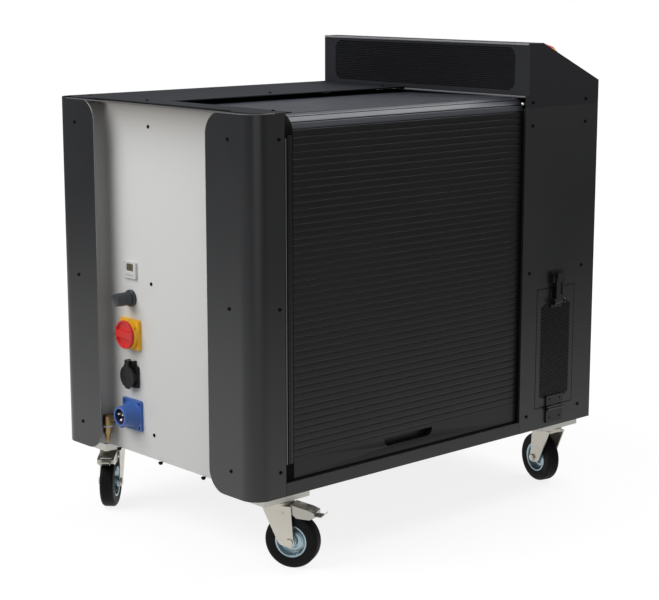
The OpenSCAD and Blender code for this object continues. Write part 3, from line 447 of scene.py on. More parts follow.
def perforated(plate, field, radius, pitch, hole):
    # staggered hexagonal holes in a rectangle with rounded corners, a plain border round them;
    # row lines carry a point every half pitch, so that each cell shares its six border points
    (u0, u1, v0, v1), (f0, f1, g0, g1) = plate, field
    columns = int((f1 - f0) // pitch)
    rows = int((g1 - g0) // (pitch * hexRise))
    us = np.concatenate([[u0], np.linspace(f0, f1, 2 * columns + 1), [u1]])
    vs = np.concatenate([[v0], np.linspace(g0, g1, rows + 1), [v1]])
    wide = len(us)
    gridU, gridV = np.meshgrid(us, vs)
    points = np.stack([gridU.ravel(), gridV.ravel()], 1)
    step, rise = (f1 - f0) / columns, (g1 - g0) / rows
    row, cell = np.meshgrid(np.arange(rows), np.arange(columns), indexing="ij")
    row, cell = row.ravel(), cell.ravel()
    odd = row % 2
    keep = ~((odd == 1) & (cell == columns - 1))
    row, cell, odd = row[keep], cell[keep], odd[keep]
    first = 1 + 2 * cell + odd          # first column of the cell on the grid of border points
    cu = f0 + (cell + 0.5 + 0.5 * odd) * step
    cv = g0 + (row + 0.5) * rise
    du = np.maximum(np.abs(cu - (f0 + f1) / 2) - ((f1 - f0) / 2 - radius), 0)
    dv = np.maximum(np.abs(cv - (g0 + g1) / 2) - ((g1 - g0) / 2 - radius), 0)
    pierced = np.hypot(du, dv) < radius - hole / 2 - fieldRim
    low, high = (row + 1) * wide + first, (row + 2) * wide + first
    border = np.stack([high + 2, high + 1, high, low, low + 1, low + 2], 1)
    angle = np.radians([30, 90, 150, 210, 270, 330])
    ring = np.stack([cu[pierced, None] + hole / 2 * np.cos(angle),
                     cv[pierced, None] + hole / 2 * np.sin(angle)], -1)
    ringIndex = len(points) + np.arange(ring.shape[0] * 6).reshape(-1, 6)
    outer = border[pierced]             # each hole's cell is six quads from its border to its ring
    quads = [np.stack([outer[:, k], outer[:, (k + 1) % 6], ringIndex[:, (k + 1) % 6], ringIndex[:, k]], 1)
             for k in range(6)]
    oddRows = np.arange(1, rows, 2)
    halves = []
    for column in (1, 2 * columns):     # half cells at both ends of the odd rows
        a = (oddRows + 1) * wide + column
        halves.append(np.stack([a, a + 1, a + wide + 1, a + wide], 1))
    ringRow, ringColumn = np.meshgrid(np.arange(len(vs) - 1), np.arange(wide - 1), indexing="ij")
    edge = (ringRow == 0) | (ringRow == len(vs) - 2) | (ringColumn == 0) | (ringColumn == wide - 2)
    a = (ringRow * wide + ringColumn)[edge]
    frameQuads = np.stack([a, a + 1, a + wide + 1, a + wide], 1)
    points = np.concatenate([points, ring.reshape(-1, 2)])
    return points, quads + halves + [frameQuads, border[~pierced]]


# Corner covers and end panel
post = {"flap": 140.0, "flange": 80.0, "bend": 38.0, "freeCorner": 46.0, "sheet": 2.0, "height": 750.0}


def postSurface():
    # one column per point of the bent section, one row per height; the flap's far edge follows
    # its rounded corners, so that columns draw in near the top and the bottom
    fold = np.linspace(0, math.pi / 2, 22)
    r, tall, free = post["bend"], post["height"], post["freeCorner"]
    swing = free * (1 - np.cos(np.linspace(0, math.pi / 2, 16)))
    heights = np.concatenate([swing, np.linspace(free, tall - free, 14)[1:-1], tall - swing[::-1]])
    inset = np.maximum(0, free - np.minimum(heights, tall - heights))
    edge = post["flap"] - free + np.sqrt(np.maximum(free ** 2 - inset ** 2, 0))
    flange = np.linspace(post["flange"], r, 6)[:-1]
    share = np.linspace(0, 1, 14)[1:]
    x = np.concatenate([flange, r - r * np.sin(fold), np.zeros(len(share))])
    yFixed = np.concatenate([np.zeros(len(flange)), r - r * np.cos(fold)])
    y = np.concatenate([np.broadcast_to(yFixed, (len(heights), len(yFixed))),
                        r + share[None] * (edge[:, None] - r)], 1)
    return np.stack([np.broadcast_to(x, y.shape), y, np.broadcast_to(heights[:, None], y.shape)], -1)


for side in ("near", "far"):
    surface = postSurface()
    if side == "far":
        surface = surface[:, ::-1].copy()
        surface[..., 1] = cabinet["width"] - surface[..., 1]
    openPiece("corner_cover_" + side, [gridPart(surface)], "charcoalCoat", "charcoal_coat",
              ["post_cover_" + side], sheet=post["sheet"], bevel=0.7)

highlightBand = {"x": (0.0, 2.0), "rise": 0.6, "sunk": -0.1}


def highlightBandPart(side):
    # painted highlight, a thin light band on the flap's free edge: its line is two quarter circles joined
    # by a straight stretch, and its four corners stand off that line at right angles
    free, flap, tall = post["freeCorner"], post["flap"], post["height"]
    turn = np.linspace(0, math.pi / 2, 16)
    straight = np.linspace(free, tall - free, 12)[1:-1]
    y = np.concatenate([flap - free + free * np.sin(turn), np.full(len(straight), flap),
                        flap - free + free * np.cos(turn)])
    z = np.concatenate([free - free * np.cos(turn), straight, tall - free + free * np.sin(turn)])
    outY = np.concatenate([np.sin(turn), np.ones(len(straight)), np.cos(turn)])
    outZ = np.concatenate([-np.cos(turn), np.zeros(len(straight)), np.sin(turn)])
    keep = slice(2, -2)                 # the band stops short of the cover's top and bottom edges
    y, z, outY, outZ = y[keep], z[keep], outY[keep], outZ[keep]
    outer, inner = highlightBand["x"]
    corners = [(outer, highlightBand["sunk"]), (outer, highlightBand["rise"]), (inner, highlightBand["rise"]),
               (inner, highlightBand["sunk"])]
    points = np.stack([np.stack([np.full(len(y), x), y + outY * out, z + outZ * out], -1)
                       for x, out in corners], 1)
    if side == "far":
        points[..., 1] = cabinet["width"] - points[..., 1]
    band, faces = gridPart(points, closeColumns=True)
    ends = np.arange(len(band)).reshape(-1, 4)
    return band, faces + [ends[0][None, ::-1], ends[-1][None]]


gusset = {"inset": 2.2, "depth": 39.0, "reach": 120.0, "z": (744.4, 745.6)}


def gussetPart(side):
    # small flat plate that closes the top of the cove behind the flap; its outer corner is a
    # quarter circle inside the cover's bend
    inset, depth, bend = gusset["inset"], gusset["depth"], post["bend"]
    r = bend - inset
    turn = np.linspace(0, math.pi / 2, 12)
    arc = np.stack([bend - r * np.cos(turn), bend - r * np.sin(turn)], 1)
    outline = np.concatenate([[[depth, gusset["reach"]], [inset, gusset["reach"]]], arc, [[depth, inset]]])
    if side == "far":
        outline[:, 1] = cabinet["width"] - outline[:, 1]
    return prism(outline, *gusset["z"])


for side in ("near", "far"):
    # painted highlight on each flap's free edge
    closedPiece("flap_edge_highlight_" + side, [highlightBandPart(side)], "flapEdgeHighlight", "zinc")
    closedPiece("cove_gusset_" + side, [gussetPart(side)], "charcoalCoat", "charcoal_coat")

panel = {"coveY": 121.0, "coveRadius": 42.0, "flange": (52.0, 66.0), "front": 4.0, "height": 746.0}


def endSurface():
    # section: flange behind the flap, quarter cove, flat, and the same mirrored
    turn = np.linspace(-math.pi / 2, 0, 20)
    r, cy, front = panel["coveRadius"], panel["coveY"], panel["front"]
    half = np.concatenate([[[front, y] for y in panel["flange"]],
                           np.stack([front + r * np.cos(turn), cy + r * np.sin(turn)], 1)])
    flat = np.linspace(cy, cabinet["width"] - cy, 12)[1:-1]
    other = half[::-1] * [1, -1] + [0, cabinet["width"]]
    path = np.concatenate([half, np.stack([np.full(len(flat), cabinet["recess"]), flat], 1), other])
    heights = np.linspace(0, panel["height"], 24)
    x, z = np.meshgrid(path[:, 0], heights)
    y = np.broadcast_to(path[:, 1], x.shape)
    return np.stack([x, y, z], -1)


openPiece("supply_end_panel", [gridPart(endSurface())], "lightCoat", "light_coat", ["end_panel"],
          sheet=2.0, bevel=0.5)
print("corner covers and end panel made")

# Sheet metal that keeps its own outline: finish, material slot and width of the broken edges
sheetNodes = {
    "top_cover": ("topCoat", "top_coat", 0.7), "sill": ("darkCoat", "dark_coat", 0.6),
    "track_left": ("trackBlack", "track_black", 0.5), "track_right": ("trackBlack", "track_black", 0.5),
    "console_housing": ("consoleCoat", "dark_coat", 0.9),
    "side_panel_near": ("sideCoat", "charcoal_coat", 0.7),
    "side_panel_far": ("charcoalCoat", "charcoal_coat", 0.7),
    "console_end_panel": ("charcoalCoat", "charcoal_coat", 0.7),
    "floor_pan": ("frameSteel", "frame_steel", 0.4), "base_frame": ("frameSteel", "frame_steel", 1.0),
    "storage_bin": ("innerSheet", "frame_steel", 0.5), "shutter_bar": ("slatCoat", "slat_dark", 0.7),
    "caster_plates": ("padZinc", "zinc", 0.6),
}
for node, (look, slot, bevel) in sheetNodes.items():
    softened(node, look, slot, bevel)
print("sheet metal dressed")

# Roller shutter
shutter = {"pitch": 13.96, "upright": 46, "top": 30, "face": 10.0, "turnRadius": 36.0, "turnZ": 708.5,
           "turnDegrees": 91.3, "x": (84.0, 767.0), "joint": 6.6, "shadedJoints": 4}
# depth behind the face against distance from the slat's middle: a crisp lower edge, a flat face
# and a small rounded shoulder on top; the top slats have crisp edges both sides
slatSection = np.array([(3.0, -6.8), (0.5, -6.75), (0.1, -6.6), (0.0, -6.2), (0.0, -2.0), (0.0, 2.0),
                        (0.0, 5.2), (0.08, 5.6), (0.35, 6.1), (0.8, 6.5), (1.4, 6.75), (2.2, 6.85),
                        (3.2, 6.85), (5.4, 5.4), (5.4, -5.4)])
topSection = np.array([(3.0, -5.7), (0.5, -5.95), (0.1, -5.9), (0.0, -5.7), (0.0, -2.0), (0.0, 2.0),
                       (0.0, 4.0), (0.0, 5.7), (0.1, 5.9), (0.5, 5.95), (2.2, 5.8), (3.2, 5.7),
                       (4.4, 5.4), (5.4, 5.0), (5.4, -5.0)])
# painted shade: a black strip deep in an open joint between two slats
jointSection = np.array([(4.6, -1.1), (0.8, -1.1), (0.7, -0.9), (0.7, 0.9), (0.8, 1.1), (4.6, 1.1)])


def slatPart(section, first, count, way):
    # each slat's section is laid on the path: straight up, round the corner, along the run
    along = first + way * np.arange(count) * shutter["pitch"]
    length = shutter["turnRadius"] * math.radians(shutter["turnDegrees"])
    turn = np.radians(shutter["turnDegrees"]) * np.clip(along / length, 0, 1)
    run = np.where(along < 0, along, np.maximum(0, along - length))
    d, t = section[:, 0] - shutter["turnRadius"], section[:, 1]
    t = t[None] + run[:, None]
    y = shutter["face"] + shutter["turnRadius"] + d * np.cos(turn)[:, None] + t * np.sin(turn)[:, None]
    z = shutter["turnZ"] - d * np.sin(turn)[:, None] + t * np.cos(turn)[:, None]
    n, m = y.shape
    ends = np.array(shutter["x"])
    points = np.stack([np.broadcast_to(ends[:, None, None], (2, n, m)),
                       np.broadcast_to(y, (2, n, m)), np.broadcast_to(z, (2, n, m))], -1).reshape(-1, 3)
    k, i = np.meshgrid(np.arange(n), np.arange(m), indexing="ij")
    nextI, half = (i + 1) % m, n * m
    sides = np.stack([k * m + i, k * m + nextI, half + k * m + nextI, half + k * m + i], -1).reshape(-1, 4)
    caps = np.arange(n * m).reshape(n, m)
    return points, [sides, caps[:, ::-1], caps + half]


middle = shutter["pitch"] / 2           # from a joint to the middle of the slat beside it
curtain = closedPiece("shutter_slats",
                      [slatPart(slatSection, shutter["joint"] - middle, shutter["upright"], -1)],
                      "slatCoat", "slat_dark", ["shutter_curtain"])
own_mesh(curtain)
# the run on top takes the lighter finish: painted light from above
closedPiece("shutter_run", [slatPart(topSection, shutter["joint"] + middle, shutter["top"], 1)],
            "slatTopLit", "slat_dark", ["shutter_top"])
# black strips in the first four joints round the turn: painted shade in the open gaps
closedPiece("shutter_joint_shade", [slatPart(jointSection, shutter["joint"], shutter["shadedJoints"], 1)],
            "trackBlack", "track_black")


def bar(u, v, w, radius, lying=False):
    # slim bar with rounded edges: u and v span its section, w its length; an upright bar's section
    # lies in x and y, a lying bar's in x and z
    (u0, u1), (v0, v1) = u, v
    part = prism(rounded([(u0, v0), (u1, v0), (u1, v1), (u0, v1)], radius, 2, closed=True), *w)
    return moved(part, lambda p: p[:, [0, 2, 1]]) if lying else part


# edges of the guides that show beside the slats
guideBars = {
    "guide_bright_edge": ((87.0, 89.6), (6.3, 7.4), (62.0, 700.0), 0.4, "guideEdge", "zinc"),
    "guide_face_left": ((92.5, 104.5), (6.6, 7.4), (62.0, 706.0), 0.3, "slatCoat", "slat_dark"),
    "guide_side_right": ((769.0, 769.9), (0.6, 5.0), (60.0, 738.0), 0.3, "darkCoat", "dark_coat"),
}
for name, (x, y, z, radius, look, slot) in guideBars.items():
    closedPiece(name, [bar(x, y, z, radius)], look, slot)
print("roller shutter made")

# Perforated sheets: plate and field are the low and high limits across and up, radius rounds the field
grille = {"plate": (2.2, 651.8, 745.0, 857.2), "field": (39.0, 619.0, 753.0, 853.5), "radius": 30.0,
          "pitch": 4.5, "hole": 4.2}
# bright strip over the slats' ends, at the foot of the console's back
foot = {"x": (762.4, 764.4), "z": (743.6, 747.5), "y": (3.0, 371.0)}
darkBacking = {"ripple": 3.0, "swing": 0.15, "thick": 0.6}


def grillePiece():
    # the perforated face stands upright across the cabinet
    flat, faces = perforated(**grille)
    points = np.stack([np.full(len(flat), cabinet["console"]), flat[:, 0], flat[:, 1]], 1)
    faces = [f[:, ::-1] for f in faces]
    return openPiece("console_grille", [(points, faces)], "consoleCoat", "dark_coat", ["console_back"],
                     merge=False, sheet=1.0, flat=True)


def backing(name, low, high, way, body):
    # thin black sheet behind a perforated sheet, painted shade through its holes; its faint ripple is a
    # product of two sines
    u, v = np.meshgrid(np.linspace(low[0], high[0], 30), np.linspace(low[1], high[1], 24), indexing="ij")
    depth = low[2] + darkBacking["swing"] * np.sin(u / darkBacking["ripple"]) * np.sin(v / darkBacking["ripple"])
    points = np.stack([depth, u, v] if way == "x" else [u, depth, v], -1)
    return openPiece(name, [gridPart(points)], "trackBlack", "track_black", body=body, sheet=darkBacking["thick"])


grillePiece()
closedPiece("console_foot", [bar(foot["x"], foot["z"], foot["y"], 0.5, lying=True)], "footEdge", "zinc")
# painted shade behind the grille's holes
backing("grille_dark_backing", (8.0, 749.0, 776.0), (646.0, 854.0), "x", "cabinet")


def bead(name, path, radius, look, slot, sides=10):
    # a round bead swept along a path of (x, y, z) points that turns only about the upright axis
    path = np.asarray(path, float)
    way = np.gradient(path, axis=0)
    way /= np.linalg.norm(way, axis=1)[:, None]
    side = np.stack([way[:, 1], -way[:, 0], np.zeros(len(path))], 1)
    angle = np.linspace(0, 2 * math.pi, sides, endpoint=False)
    up = np.array([0, 0, 1.0])
    points = (path[:, None] + radius * (np.cos(angle)[None, :, None] * side[:, None]
                                        + np.sin(angle)[None, :, None] * up))
    skin, faces = gridPart(points, closeColumns=True)
    caps = np.arange(len(skin)).reshape(len(path), sides)
    faces += [caps[0][None, ::-1], caps[-1][None]]
    return closedPiece(name, [(skin, faces)], look, slot)


topBead = {"x": 771.1, "y": (3, 651), "z": 856.5, "radius": 2.3}
coverBead = {"inset": 0.6, "z": 748.8, "radius": 1.3, "y": (612, 42), "x": (46, 56)}


def coverBeadPath():
    # along the end, round the near corner on a quarter circle, and a short way along the side
    inset, bend, z = coverBead["inset"], post["bend"], coverBead["z"]
    r = bend - inset
    end = [(inset, y, z) for y in np.linspace(*coverBead["y"], 30)]
    arc = [(bend - r * math.cos(a), bend - r * math.sin(a), z) for a in np.linspace(0, math.pi / 2, 14)]
    return end + arc + [(x, inset, z) for x in coverBead["x"]]


# round bead along the console's top edge; its light grey is a painted highlight
bead("console_top_bead", [(topBead["x"], y, topBead["z"]) for y in np.linspace(*topBead["y"], 24)],
     topBead["radius"], "topBead", "dark_coat")
# bead round the top cover's edge; its grey is a painted highlight
bead("cover_edge_bead", coverBeadPath(), coverBead["radius"], "beadHighlight", "dark_coat")
hatch = {"plate": (813.5, 937.5, 49.5, 318.5), "field": (823.0, 928.0, 64.0, 288.0), "radius": 20.0,
         "pitch": 4.5, "hole": 4.2}
# the side returns stop short of the plate's low and high ends
returns = {"thick": 1.6, "fold": (2.0, 9.0), "low": 14, "high": 1}


def hatchPieces():
    # the perforated face, and its two side returns folded back
    flat, faces = perforated(**hatch)
    points = np.stack([flat[:, 0], np.zeros(len(flat)), flat[:, 1]], 1)
    openPiece("hatch_face", [(points, faces)], "charcoalCoat", "charcoal_coat", ["filter_door"],
              "filter_hatch", merge=False, sheet=1.0, flat=True)
    x0, x1, z0, z1 = hatch["plate"]
    thick, z = returns["thick"], (z0 + returns["low"], z1 - returns["high"])
    parts = [bar(x, z, returns["fold"], 0.5, lying=True) for x in ((x0, x0 + thick), (x1 - thick, x1))]
    closedPiece("hatch_returns", parts, "charcoalCoat", "charcoal_coat", body="filter_hatch")


hatchPieces()
# painted shade behind the hatch's holes
backing("hatch_dark_backing", (819.0, 60.0, 4.0), (932.0, 292.0), "y", "filter_hatch")
mat = {"columns": 24, "rows": 240, "pitch": 12, "swing": 2.2, "front": 2.3}


def matPart():
    # pleated felt in the filter's own box: the face rises and falls along z as a cosine
    low, high = [(np.array(v) - corner) * 1000 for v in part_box("filter_mat")]
    x, z = np.linspace(low[0], high[0], mat["columns"]), np.linspace(low[2], high[2], mat["rows"])
    gx, gz = np.meshgrid(x, z)
    wave = mat["swing"] * np.cos((gz - low[2]) * 2 * math.pi / mat["pitch"])
    front = np.stack([gx, low[1] + mat["front"] + wave, gz], -1)
    back = np.stack([gx, np.full(gx.shape, high[1]), gz], -1)
    points, faces = gridPart(np.concatenate([front, back[:, ::-1]], 1), closeColumns=True)
    caps = np.arange(len(points)).reshape(mat["rows"], -1)
    return points, faces + [caps[0][None], caps[-1][None, ::-1]]


closedPiece("filter_pleats", [matPart()], "felt", "filter_felt", ["filter_mat"])
print("perforated sheets made")

# Screws
screw = {"radius": 4.0, "height": 2.2, "socket": 2.2, "deep": 1.4, "sides": 24,
         "dome": ((1.0, 0.0), (1.0, 0.25), (0.93, 1.0), (0.78, 1.7), (0.62, 2.1))}
ringAngle = np.linspace(0, 2 * math.pi, screw["sides"], endpoint=False)


def ringsPart(rings):
    # rings of (radius, height) joined in their order; a radius may differ round its ring
    count = screw["sides"]
    points = np.stack([np.stack([r * np.cos(ringAngle), r * np.sin(ringAngle), np.full(count, h)], -1)
                       for r, h in rings])
    return gridPart(points, closeColumns=True)


def screwPart(rise=1.0, wide=1.0):
    # button head: a low dome, then a hexagonal socket sunk in the middle
    flat = math.pi / 6
    hexagon = screw["socket"] * math.cos(flat) / np.cos((ringAngle % (2 * flat)) - flat)
    top = screw["height"] * rise
    rings = [(screw["radius"] * share * wide, height * rise) for share, height in screw["dome"]]
    rings += [(hexagon, top), (hexagon, top - screw["deep"]), (hexagon * 0.02, top - screw["deep"] - 0.2)]
    return ringsPart(rings)


def sunkScrew(radius):
    # countersunk head with a cross recess, whose radius swells and shrinks four times round
    cross = radius * 0.5 * (0.55 + 0.45 * np.abs(np.cos(2 * ringAngle)) ** 3)
    return ringsPart([(radius, -1.2), (radius, 0.0), (radius * 0.92, 0.25),
                      (cross, 0.35), (cross * 0.9, -0.6), (cross * 0.02, -0.7)])


# each screw's place and the way it points: supply end, near side, far side, console end, top, underside
width, height = cabinet["width"], cabinet["height"]
rowZ, sideRowZ = (52, 375, 700), (36, 359.5, 683)
sites = [((0, y, z), "-x") for y in (72, width - 72) for z in rowZ]
sites += [((cabinet["recess"], 385, z), "-x") for z in rowZ]
sites += [((66, 0, z), "-y") for z in rowZ]
sites += [((x, 0, z), "-y") for x in (785, 961) for z in sideRowZ + (height - 17,)]
sites += [((x, width, z), "+y") for x in (66, 120, 420, 720) for z in rowZ]
sites += [((x, width, z), "+y") for x in (785, 961) for z in sideRowZ + (height - 17,)]
sites += [((cabinet["length"], y, z), "+x") for y in (72, 327, 582) for z in sideRowZ]
sites += [((90, 45, height), "+z")] + [((x, y, height), "+z") for y in (420, 625) for x in (70, 400, 740)]
sites += [((x, y, 0), "-z") for x in (42, cabinet["length"] - 12) for y in (214, 359, 508)]
# the screws of the underside stand taller and wider
heads = [onWay(screwPart(2.5, 1.25) if way == "-z" else screwPart(), at, way) for at, way in sites]
openPiece("cover_screw_heads", heads, "screwBlack", "screw_black", ["cover_screws"], sharp=40)
rivetHead = turned(rounded([(0.02, 2.4), (1.6, 2.1), (2.9, 0.9), (3.2, 0), (3.2, -3)], 0.4, 3), 24)
openPiece("track_rivet", [onWay(rivetHead, (760, 6.5, 731), "-y")], "pinMetal", "zinc")
openPiece("track_screw", [onWay(screwPart(1, 0.9), (769, 3.0, 741.5), "-y")], "screwBlack", "screw_black")
print("screws made,", len(sites))

# Fittings and controls that keep their own outline: finish, material slot and width of the broken edges
fittingNodes = {
    "meter": ("whitePlastic", "white_plastic", 0.6),
    "switch_plate": ("yellowPlastic", "yellow_plastic", 0.8),
    "switch_handle": ("redPlastic", "red_plastic", 1.0),
    "socket_body": ("blackPlastic", "black_plastic", 0.7),
    "socket_lid": ("blackPlastic", "black_plastic", 0.9),
    "inlet_housing": ("bluePlastic", "blue_plastic", 0.7),
    "inlet_pins": ("pinMetal", "pin_metal", 0.25),
    "door_fittings": ("fittingBlack", "black_plastic", 0.6),
    "door_hinge_leaf": ("fittingBlack", "black_plastic", 0.6),
    "latch_base": ("fittingBlack", "black_plastic", 0.6),
    "latch_lever": ("fittingBlack", "black_plastic", 0.8),
    "touch_panel": ("blackPlastic", "black_plastic", 1.0),
    "selector_knob": ("blackPlastic", "black_plastic", 0.8),
}
for node, (look, slot, bevel) in fittingNodes.items():
    softened(node, look, slot, bevel)

# the fittings on the end panel share a middle across it, at these heights
column = 456.0
fittingZ = {"meter": 396, "cap": 336, "inlet": 85}
# low and high corners from the meter's middle, as (up, across), and how far each stands out
display = {"glass": ((-2, -16), (13.5, 10), 4.35), "label": ((-13.6, -14), (-9.8, 15), 4.55)}


def displayPart(low, high, rise):
    # very slightly crowned plate: its height falls off with the sixth power towards the edges
    u, v = np.meshgrid(np.linspace(0, 1, 16), np.linspace(0, 1, 20), indexing="ij")
    crown = rise - 0.3 * (np.abs(2 * u - 1) ** 6 + np.abs(2 * v - 1) ** 6)
    points = np.stack([low[0] + u * (high[0] - low[0]), low[1] + v * (high[1] - low[1]), crown], -1)
    return onEnd(gridPart(points), column, fittingZ["meter"])


openPiece("meter_display", [displayPart(*display["glass"])], "displayBrown", "screen_black")
openPiece("meter_label", [displayPart(*display["label"])], "labelTeal", "green_plastic")
# dark blue skin lining the inlet's well: painted shade inside the recess
well = [(0, 10.7), (16.3, 10.7), (16.3, 35.4), (16.85, 35.4), (16.85, 10.2), (0, 10.2)]
closedPiece("inlet_well_shade", [onEnd(turned(rounded(well, 0.2, 2), 64), column, fittingZ["inlet"])],
            "wellShadeBlue", "blue_plastic")

# screw cap with ribs round its middle, and the round flange behind it
capProfile = rounded([(0, 45), (6, 44.5), (12.4, 43.5), (13.4, 41), (13.4, 33), (14.2, 32), (14.2, 13),
                      (15, 12), (15, 8), (9.1, 8), (9.1, 24), (0, 24)], 0.6, 3)
ribShare = ((capProfile[:, 1] > 14) & (capProfile[:, 1] < 31) & (capProfile[:, 0] > 13)).astype(float)
cap = onEnd(turned(np.c_[capProfile, ribShare], 144, ribs=36, depth=0.5), column, fittingZ["cap"])
closedPiece("connector_cap_turned", [cap], "capPlastic", "cap_plastic", ["connector_cap"], "cap")
base = rounded([(0, 0), (18, 0), (18, 6), (17, 7.5), (9, 7.5), (9, 22), (6, 22), (6, 4), (0, 4)], 0.5, 3)
closedPiece("connector_flange", [onEnd(turned(base, 72), column, fittingZ["cap"])], "capPlastic",
            "cap_plastic", ["connector_base"])

coupling = {"x": 24.0, "y": 524.0, "z": 63.0}
# an upright turned stem with a knurled band, a flat six-sided nut on the panel and an arm between them
stem = rounded([(0, 14), (4, 14), (5, 15), (5, 18), (6, 20), (5, 21), (6.2, 25), (5.4, 26), (6.6, 31),
                (6.6, 34), (10, 34), (10, 47), (10.4, 47.4), (10.4, 51.6), (10.5, 52), (10.5, 71),
                (8, 74), (0, 74)], 0.35, 2)
knurl = ((stem[:, 1] > 34.5) & (stem[:, 1] < 46.6) & (stem[:, 0] > 9)).astype(float)
nut = turned(rounded([(0, 0), (12, 0), (12, 5), (0, 5)], 0.6, 2), 6)
arm = turned(rounded([(0, 4), (8.5, 4), (8.5, 22), (0, 22)], 0.5, 2), 48)
ring = rounded([(10.2, 47.5), (11.5, 47.5), (11.5, 51.5), (10.2, 51.5)], 0.4, 3, closed=True)
upright = shifted(turned(np.c_[stem, knurl], 120, ribs=30, depth=0.7), coupling["x"], coupling["y"], 0)
closedPiece("air_coupling_turned", [upright] + [onEnd(p, coupling["y"], coupling["z"]) for p in (nut, arm)],
            "brass", "brass", ["air_coupling"])
closedPiece("air_coupling_ring", [shifted(turned(np.concatenate([ring, ring[:1]]), 64),
                                          coupling["x"], coupling["y"], 0)], "whitePlastic", "white_plastic")

# small countersunk screws: four round the inlet, two on each leaf of the door's hinge
inletScrew = {"radius": 2.7, "away": 26, "out": 4.2}
hingeScrew = {"radius": 2.5, "away": 17, "x": 875.5, "y": -3.2, "z": {"fixed": 22.0, "door": 64.0}}
away = inletScrew["away"]
four = [shifted(sunkScrew(inletScrew["radius"]), u, v, inletScrew["out"]) for u in (-away, away)
        for v in (-away, away)]
openPiece("fitting_screws", [onEnd(head, column, fittingZ["inlet"]) for head in four], "screwBlack",
          "screw_black", sharp=40)
for leaf, body in (("fixed", "cabinet"), ("door", "filter_hatch")):
    pair = [onWay(sunkScrew(hingeScrew["radius"]),
                  (hingeScrew["x"] + s * hingeScrew["away"], hingeScrew["y"], hingeScrew["z"][leaf]), "-y")
            for s in (-1, 1)]
    openPiece("hinge_screws_" + leaf, pair, "screwBlack", "screw_black", body=body, sharp=40)
print("fittings made")

# Console controls, each a place on the slope and a profile of (radius, height) with its own roundings
stop = {"down": 88.0, "y": 68.0}
start = {"down": 130.0, "y": 590.0}
touch = {"down": 100.0, "y": 340.0, "size": (106.0, 186.0), "rise": 5.6, "crown": 0.3}
collar = rounded([(0, 0), (29, 0), (29, 3), (27, 17), (25.5, 20), (22, 20), (22, 12), (0, 12)],
                 [0, 0.6, 1, 1.5, 1.2, 0.8, 1, 0], 4)
button = rounded([(0, -12), (6, -12), (6, 18.5), (18, 18.5), (20, 20), (20, 23), (17, 26), (10, 27.6),
                  (0, 28)], [0, 0.5, 0.5, 1, 1, 1.5, 3, 6, 0], 5)
push = rounded([(0, -9.9), (10.6, -9.9), (10.6, 3.1), (12.95, 3.1), (12.95, 7.2), (10.5, 8), (0, 7.6)],
               [0, 0.4, 0.3, 0.5, 1.2, 1.5, 0], 4)
closedPiece("stop_collar", [onSlope(turned(collar, 96), stop["down"], stop["y"])], "yellowPlastic",
            "yellow_plastic", ["estop_collar"])
closedPiece("stop_button", [onSlope(turned(button, 96), stop["down"], stop["y"])], "redPlastic",
            "red_plastic", ["estop_button"], "emergency_stop")
closedPiece("start_push", [onSlope(turned(push, 72), start["down"], start["y"])], "greenPlastic",
            "green_plastic", ["start_button"], bodyOf["start_button"])


def touchGlass():
    # glass of the touch panel: its height falls off with the tenth power towards the edges
    u, v = np.meshgrid(np.linspace(-1, 1, 24), np.linspace(-1, 1, 40), indexing="ij")
    rise = touch["rise"] - touch["crown"] * (np.abs(u) ** 10 + np.abs(v) ** 10)
    points = np.stack([u * touch["size"][0] / 2, v * touch["size"][1] / 2, rise], -1)
    return onSlope(gridPart(points), touch["down"], touch["y"])


openPiece("touch_glass", [touchGlass()], "screenGlass", "screen_black")
print("console controls made")

# Casters
# tyre is its width, rim the rim's radius, wheel the diameter
caster = {"axleZ": 55.5, "trail": 33.0, "tyre": 30.0, "rim": 32.0, "wheel": 111.0, "shoulder": 7,
          "groove": 0.9}
# swivel axis and the caster's turn about it, in degrees
casterSites = [(94.0, 44.0, -61.0), (94.0, 606.0, -137.0), (918.0, 44.0, 78.0), (918.0, 606.0, 80.0)]


def onWheel(part, index):
    # local z along the axle, then turned with the caster about its swivel axis
    x0, y0, turn = casterSites[index]
    c, s = math.cos(math.radians(turn)), math.sin(math.radians(turn))

    def change(p):
        x, y, z = caster["trail"] + p[:, 0], -p[:, 2], caster["axleZ"] + p[:, 1]
        return np.stack([x0 + x * c - y * s, y0 + x * s + y * c, z - groundZ], 1)
    return moved(part, change)


def tyreProfile():
    # flat tread with three fine grooves, round shoulders, short side walls
    half, outer, inner = caster["tyre"] / 2, caster["wheel"] / 2, caster["rim"]
    r, deep = caster["shoulder"], caster["groove"]
    bend = np.linspace(0, math.pi / 2, 10)
    right = np.stack([outer - r + r * np.cos(bend), half - r + r * np.sin(bend)], 1)
    grooves = []
    for z in (-5, 0, 5):
        grooves += [(outer, z - deep), (outer - deep, z - 0.6), (outer - deep, z + 0.6), (outer, z + deep)]
    left = right[::-1] * [1, -1]
    wall = np.array([(inner + 6, half), (inner + 4.5, half - 0.6), (inner + 1.2, half - 0.4),
                     (inner + 0.2, half - 2.2)])
    mirrored = wall[::-1] * [1, -1]
    return np.concatenate([mirrored, left, np.array(grooves), right, wall, mirrored[:1]])


def rimProfile():
    # section of the pressed rim: hub, dished web and outer lip, and the same mirrored
    lip, r = caster["tyre"] / 2 - 1, caster["rim"]
    upper = np.array([(6.05, 18), (11, 18), (12, 17), (12, 15), (12, 4), (17, 2), (22, 2.6), (r - 6, 4.2),
                      (r - 4.4, 7), (r - 3.4, lip - 3), (r - 2.4, lip - 0.2), (r + 0.9, lip + 0.5),
                      (r + 0.9, lip - 0.5), (r, lip - 1)], float)
    path = np.concatenate([upper, (upper * [1, -1])[::-1]])
    return rounded(np.concatenate([path, path[:1]]), 0.7, 3)


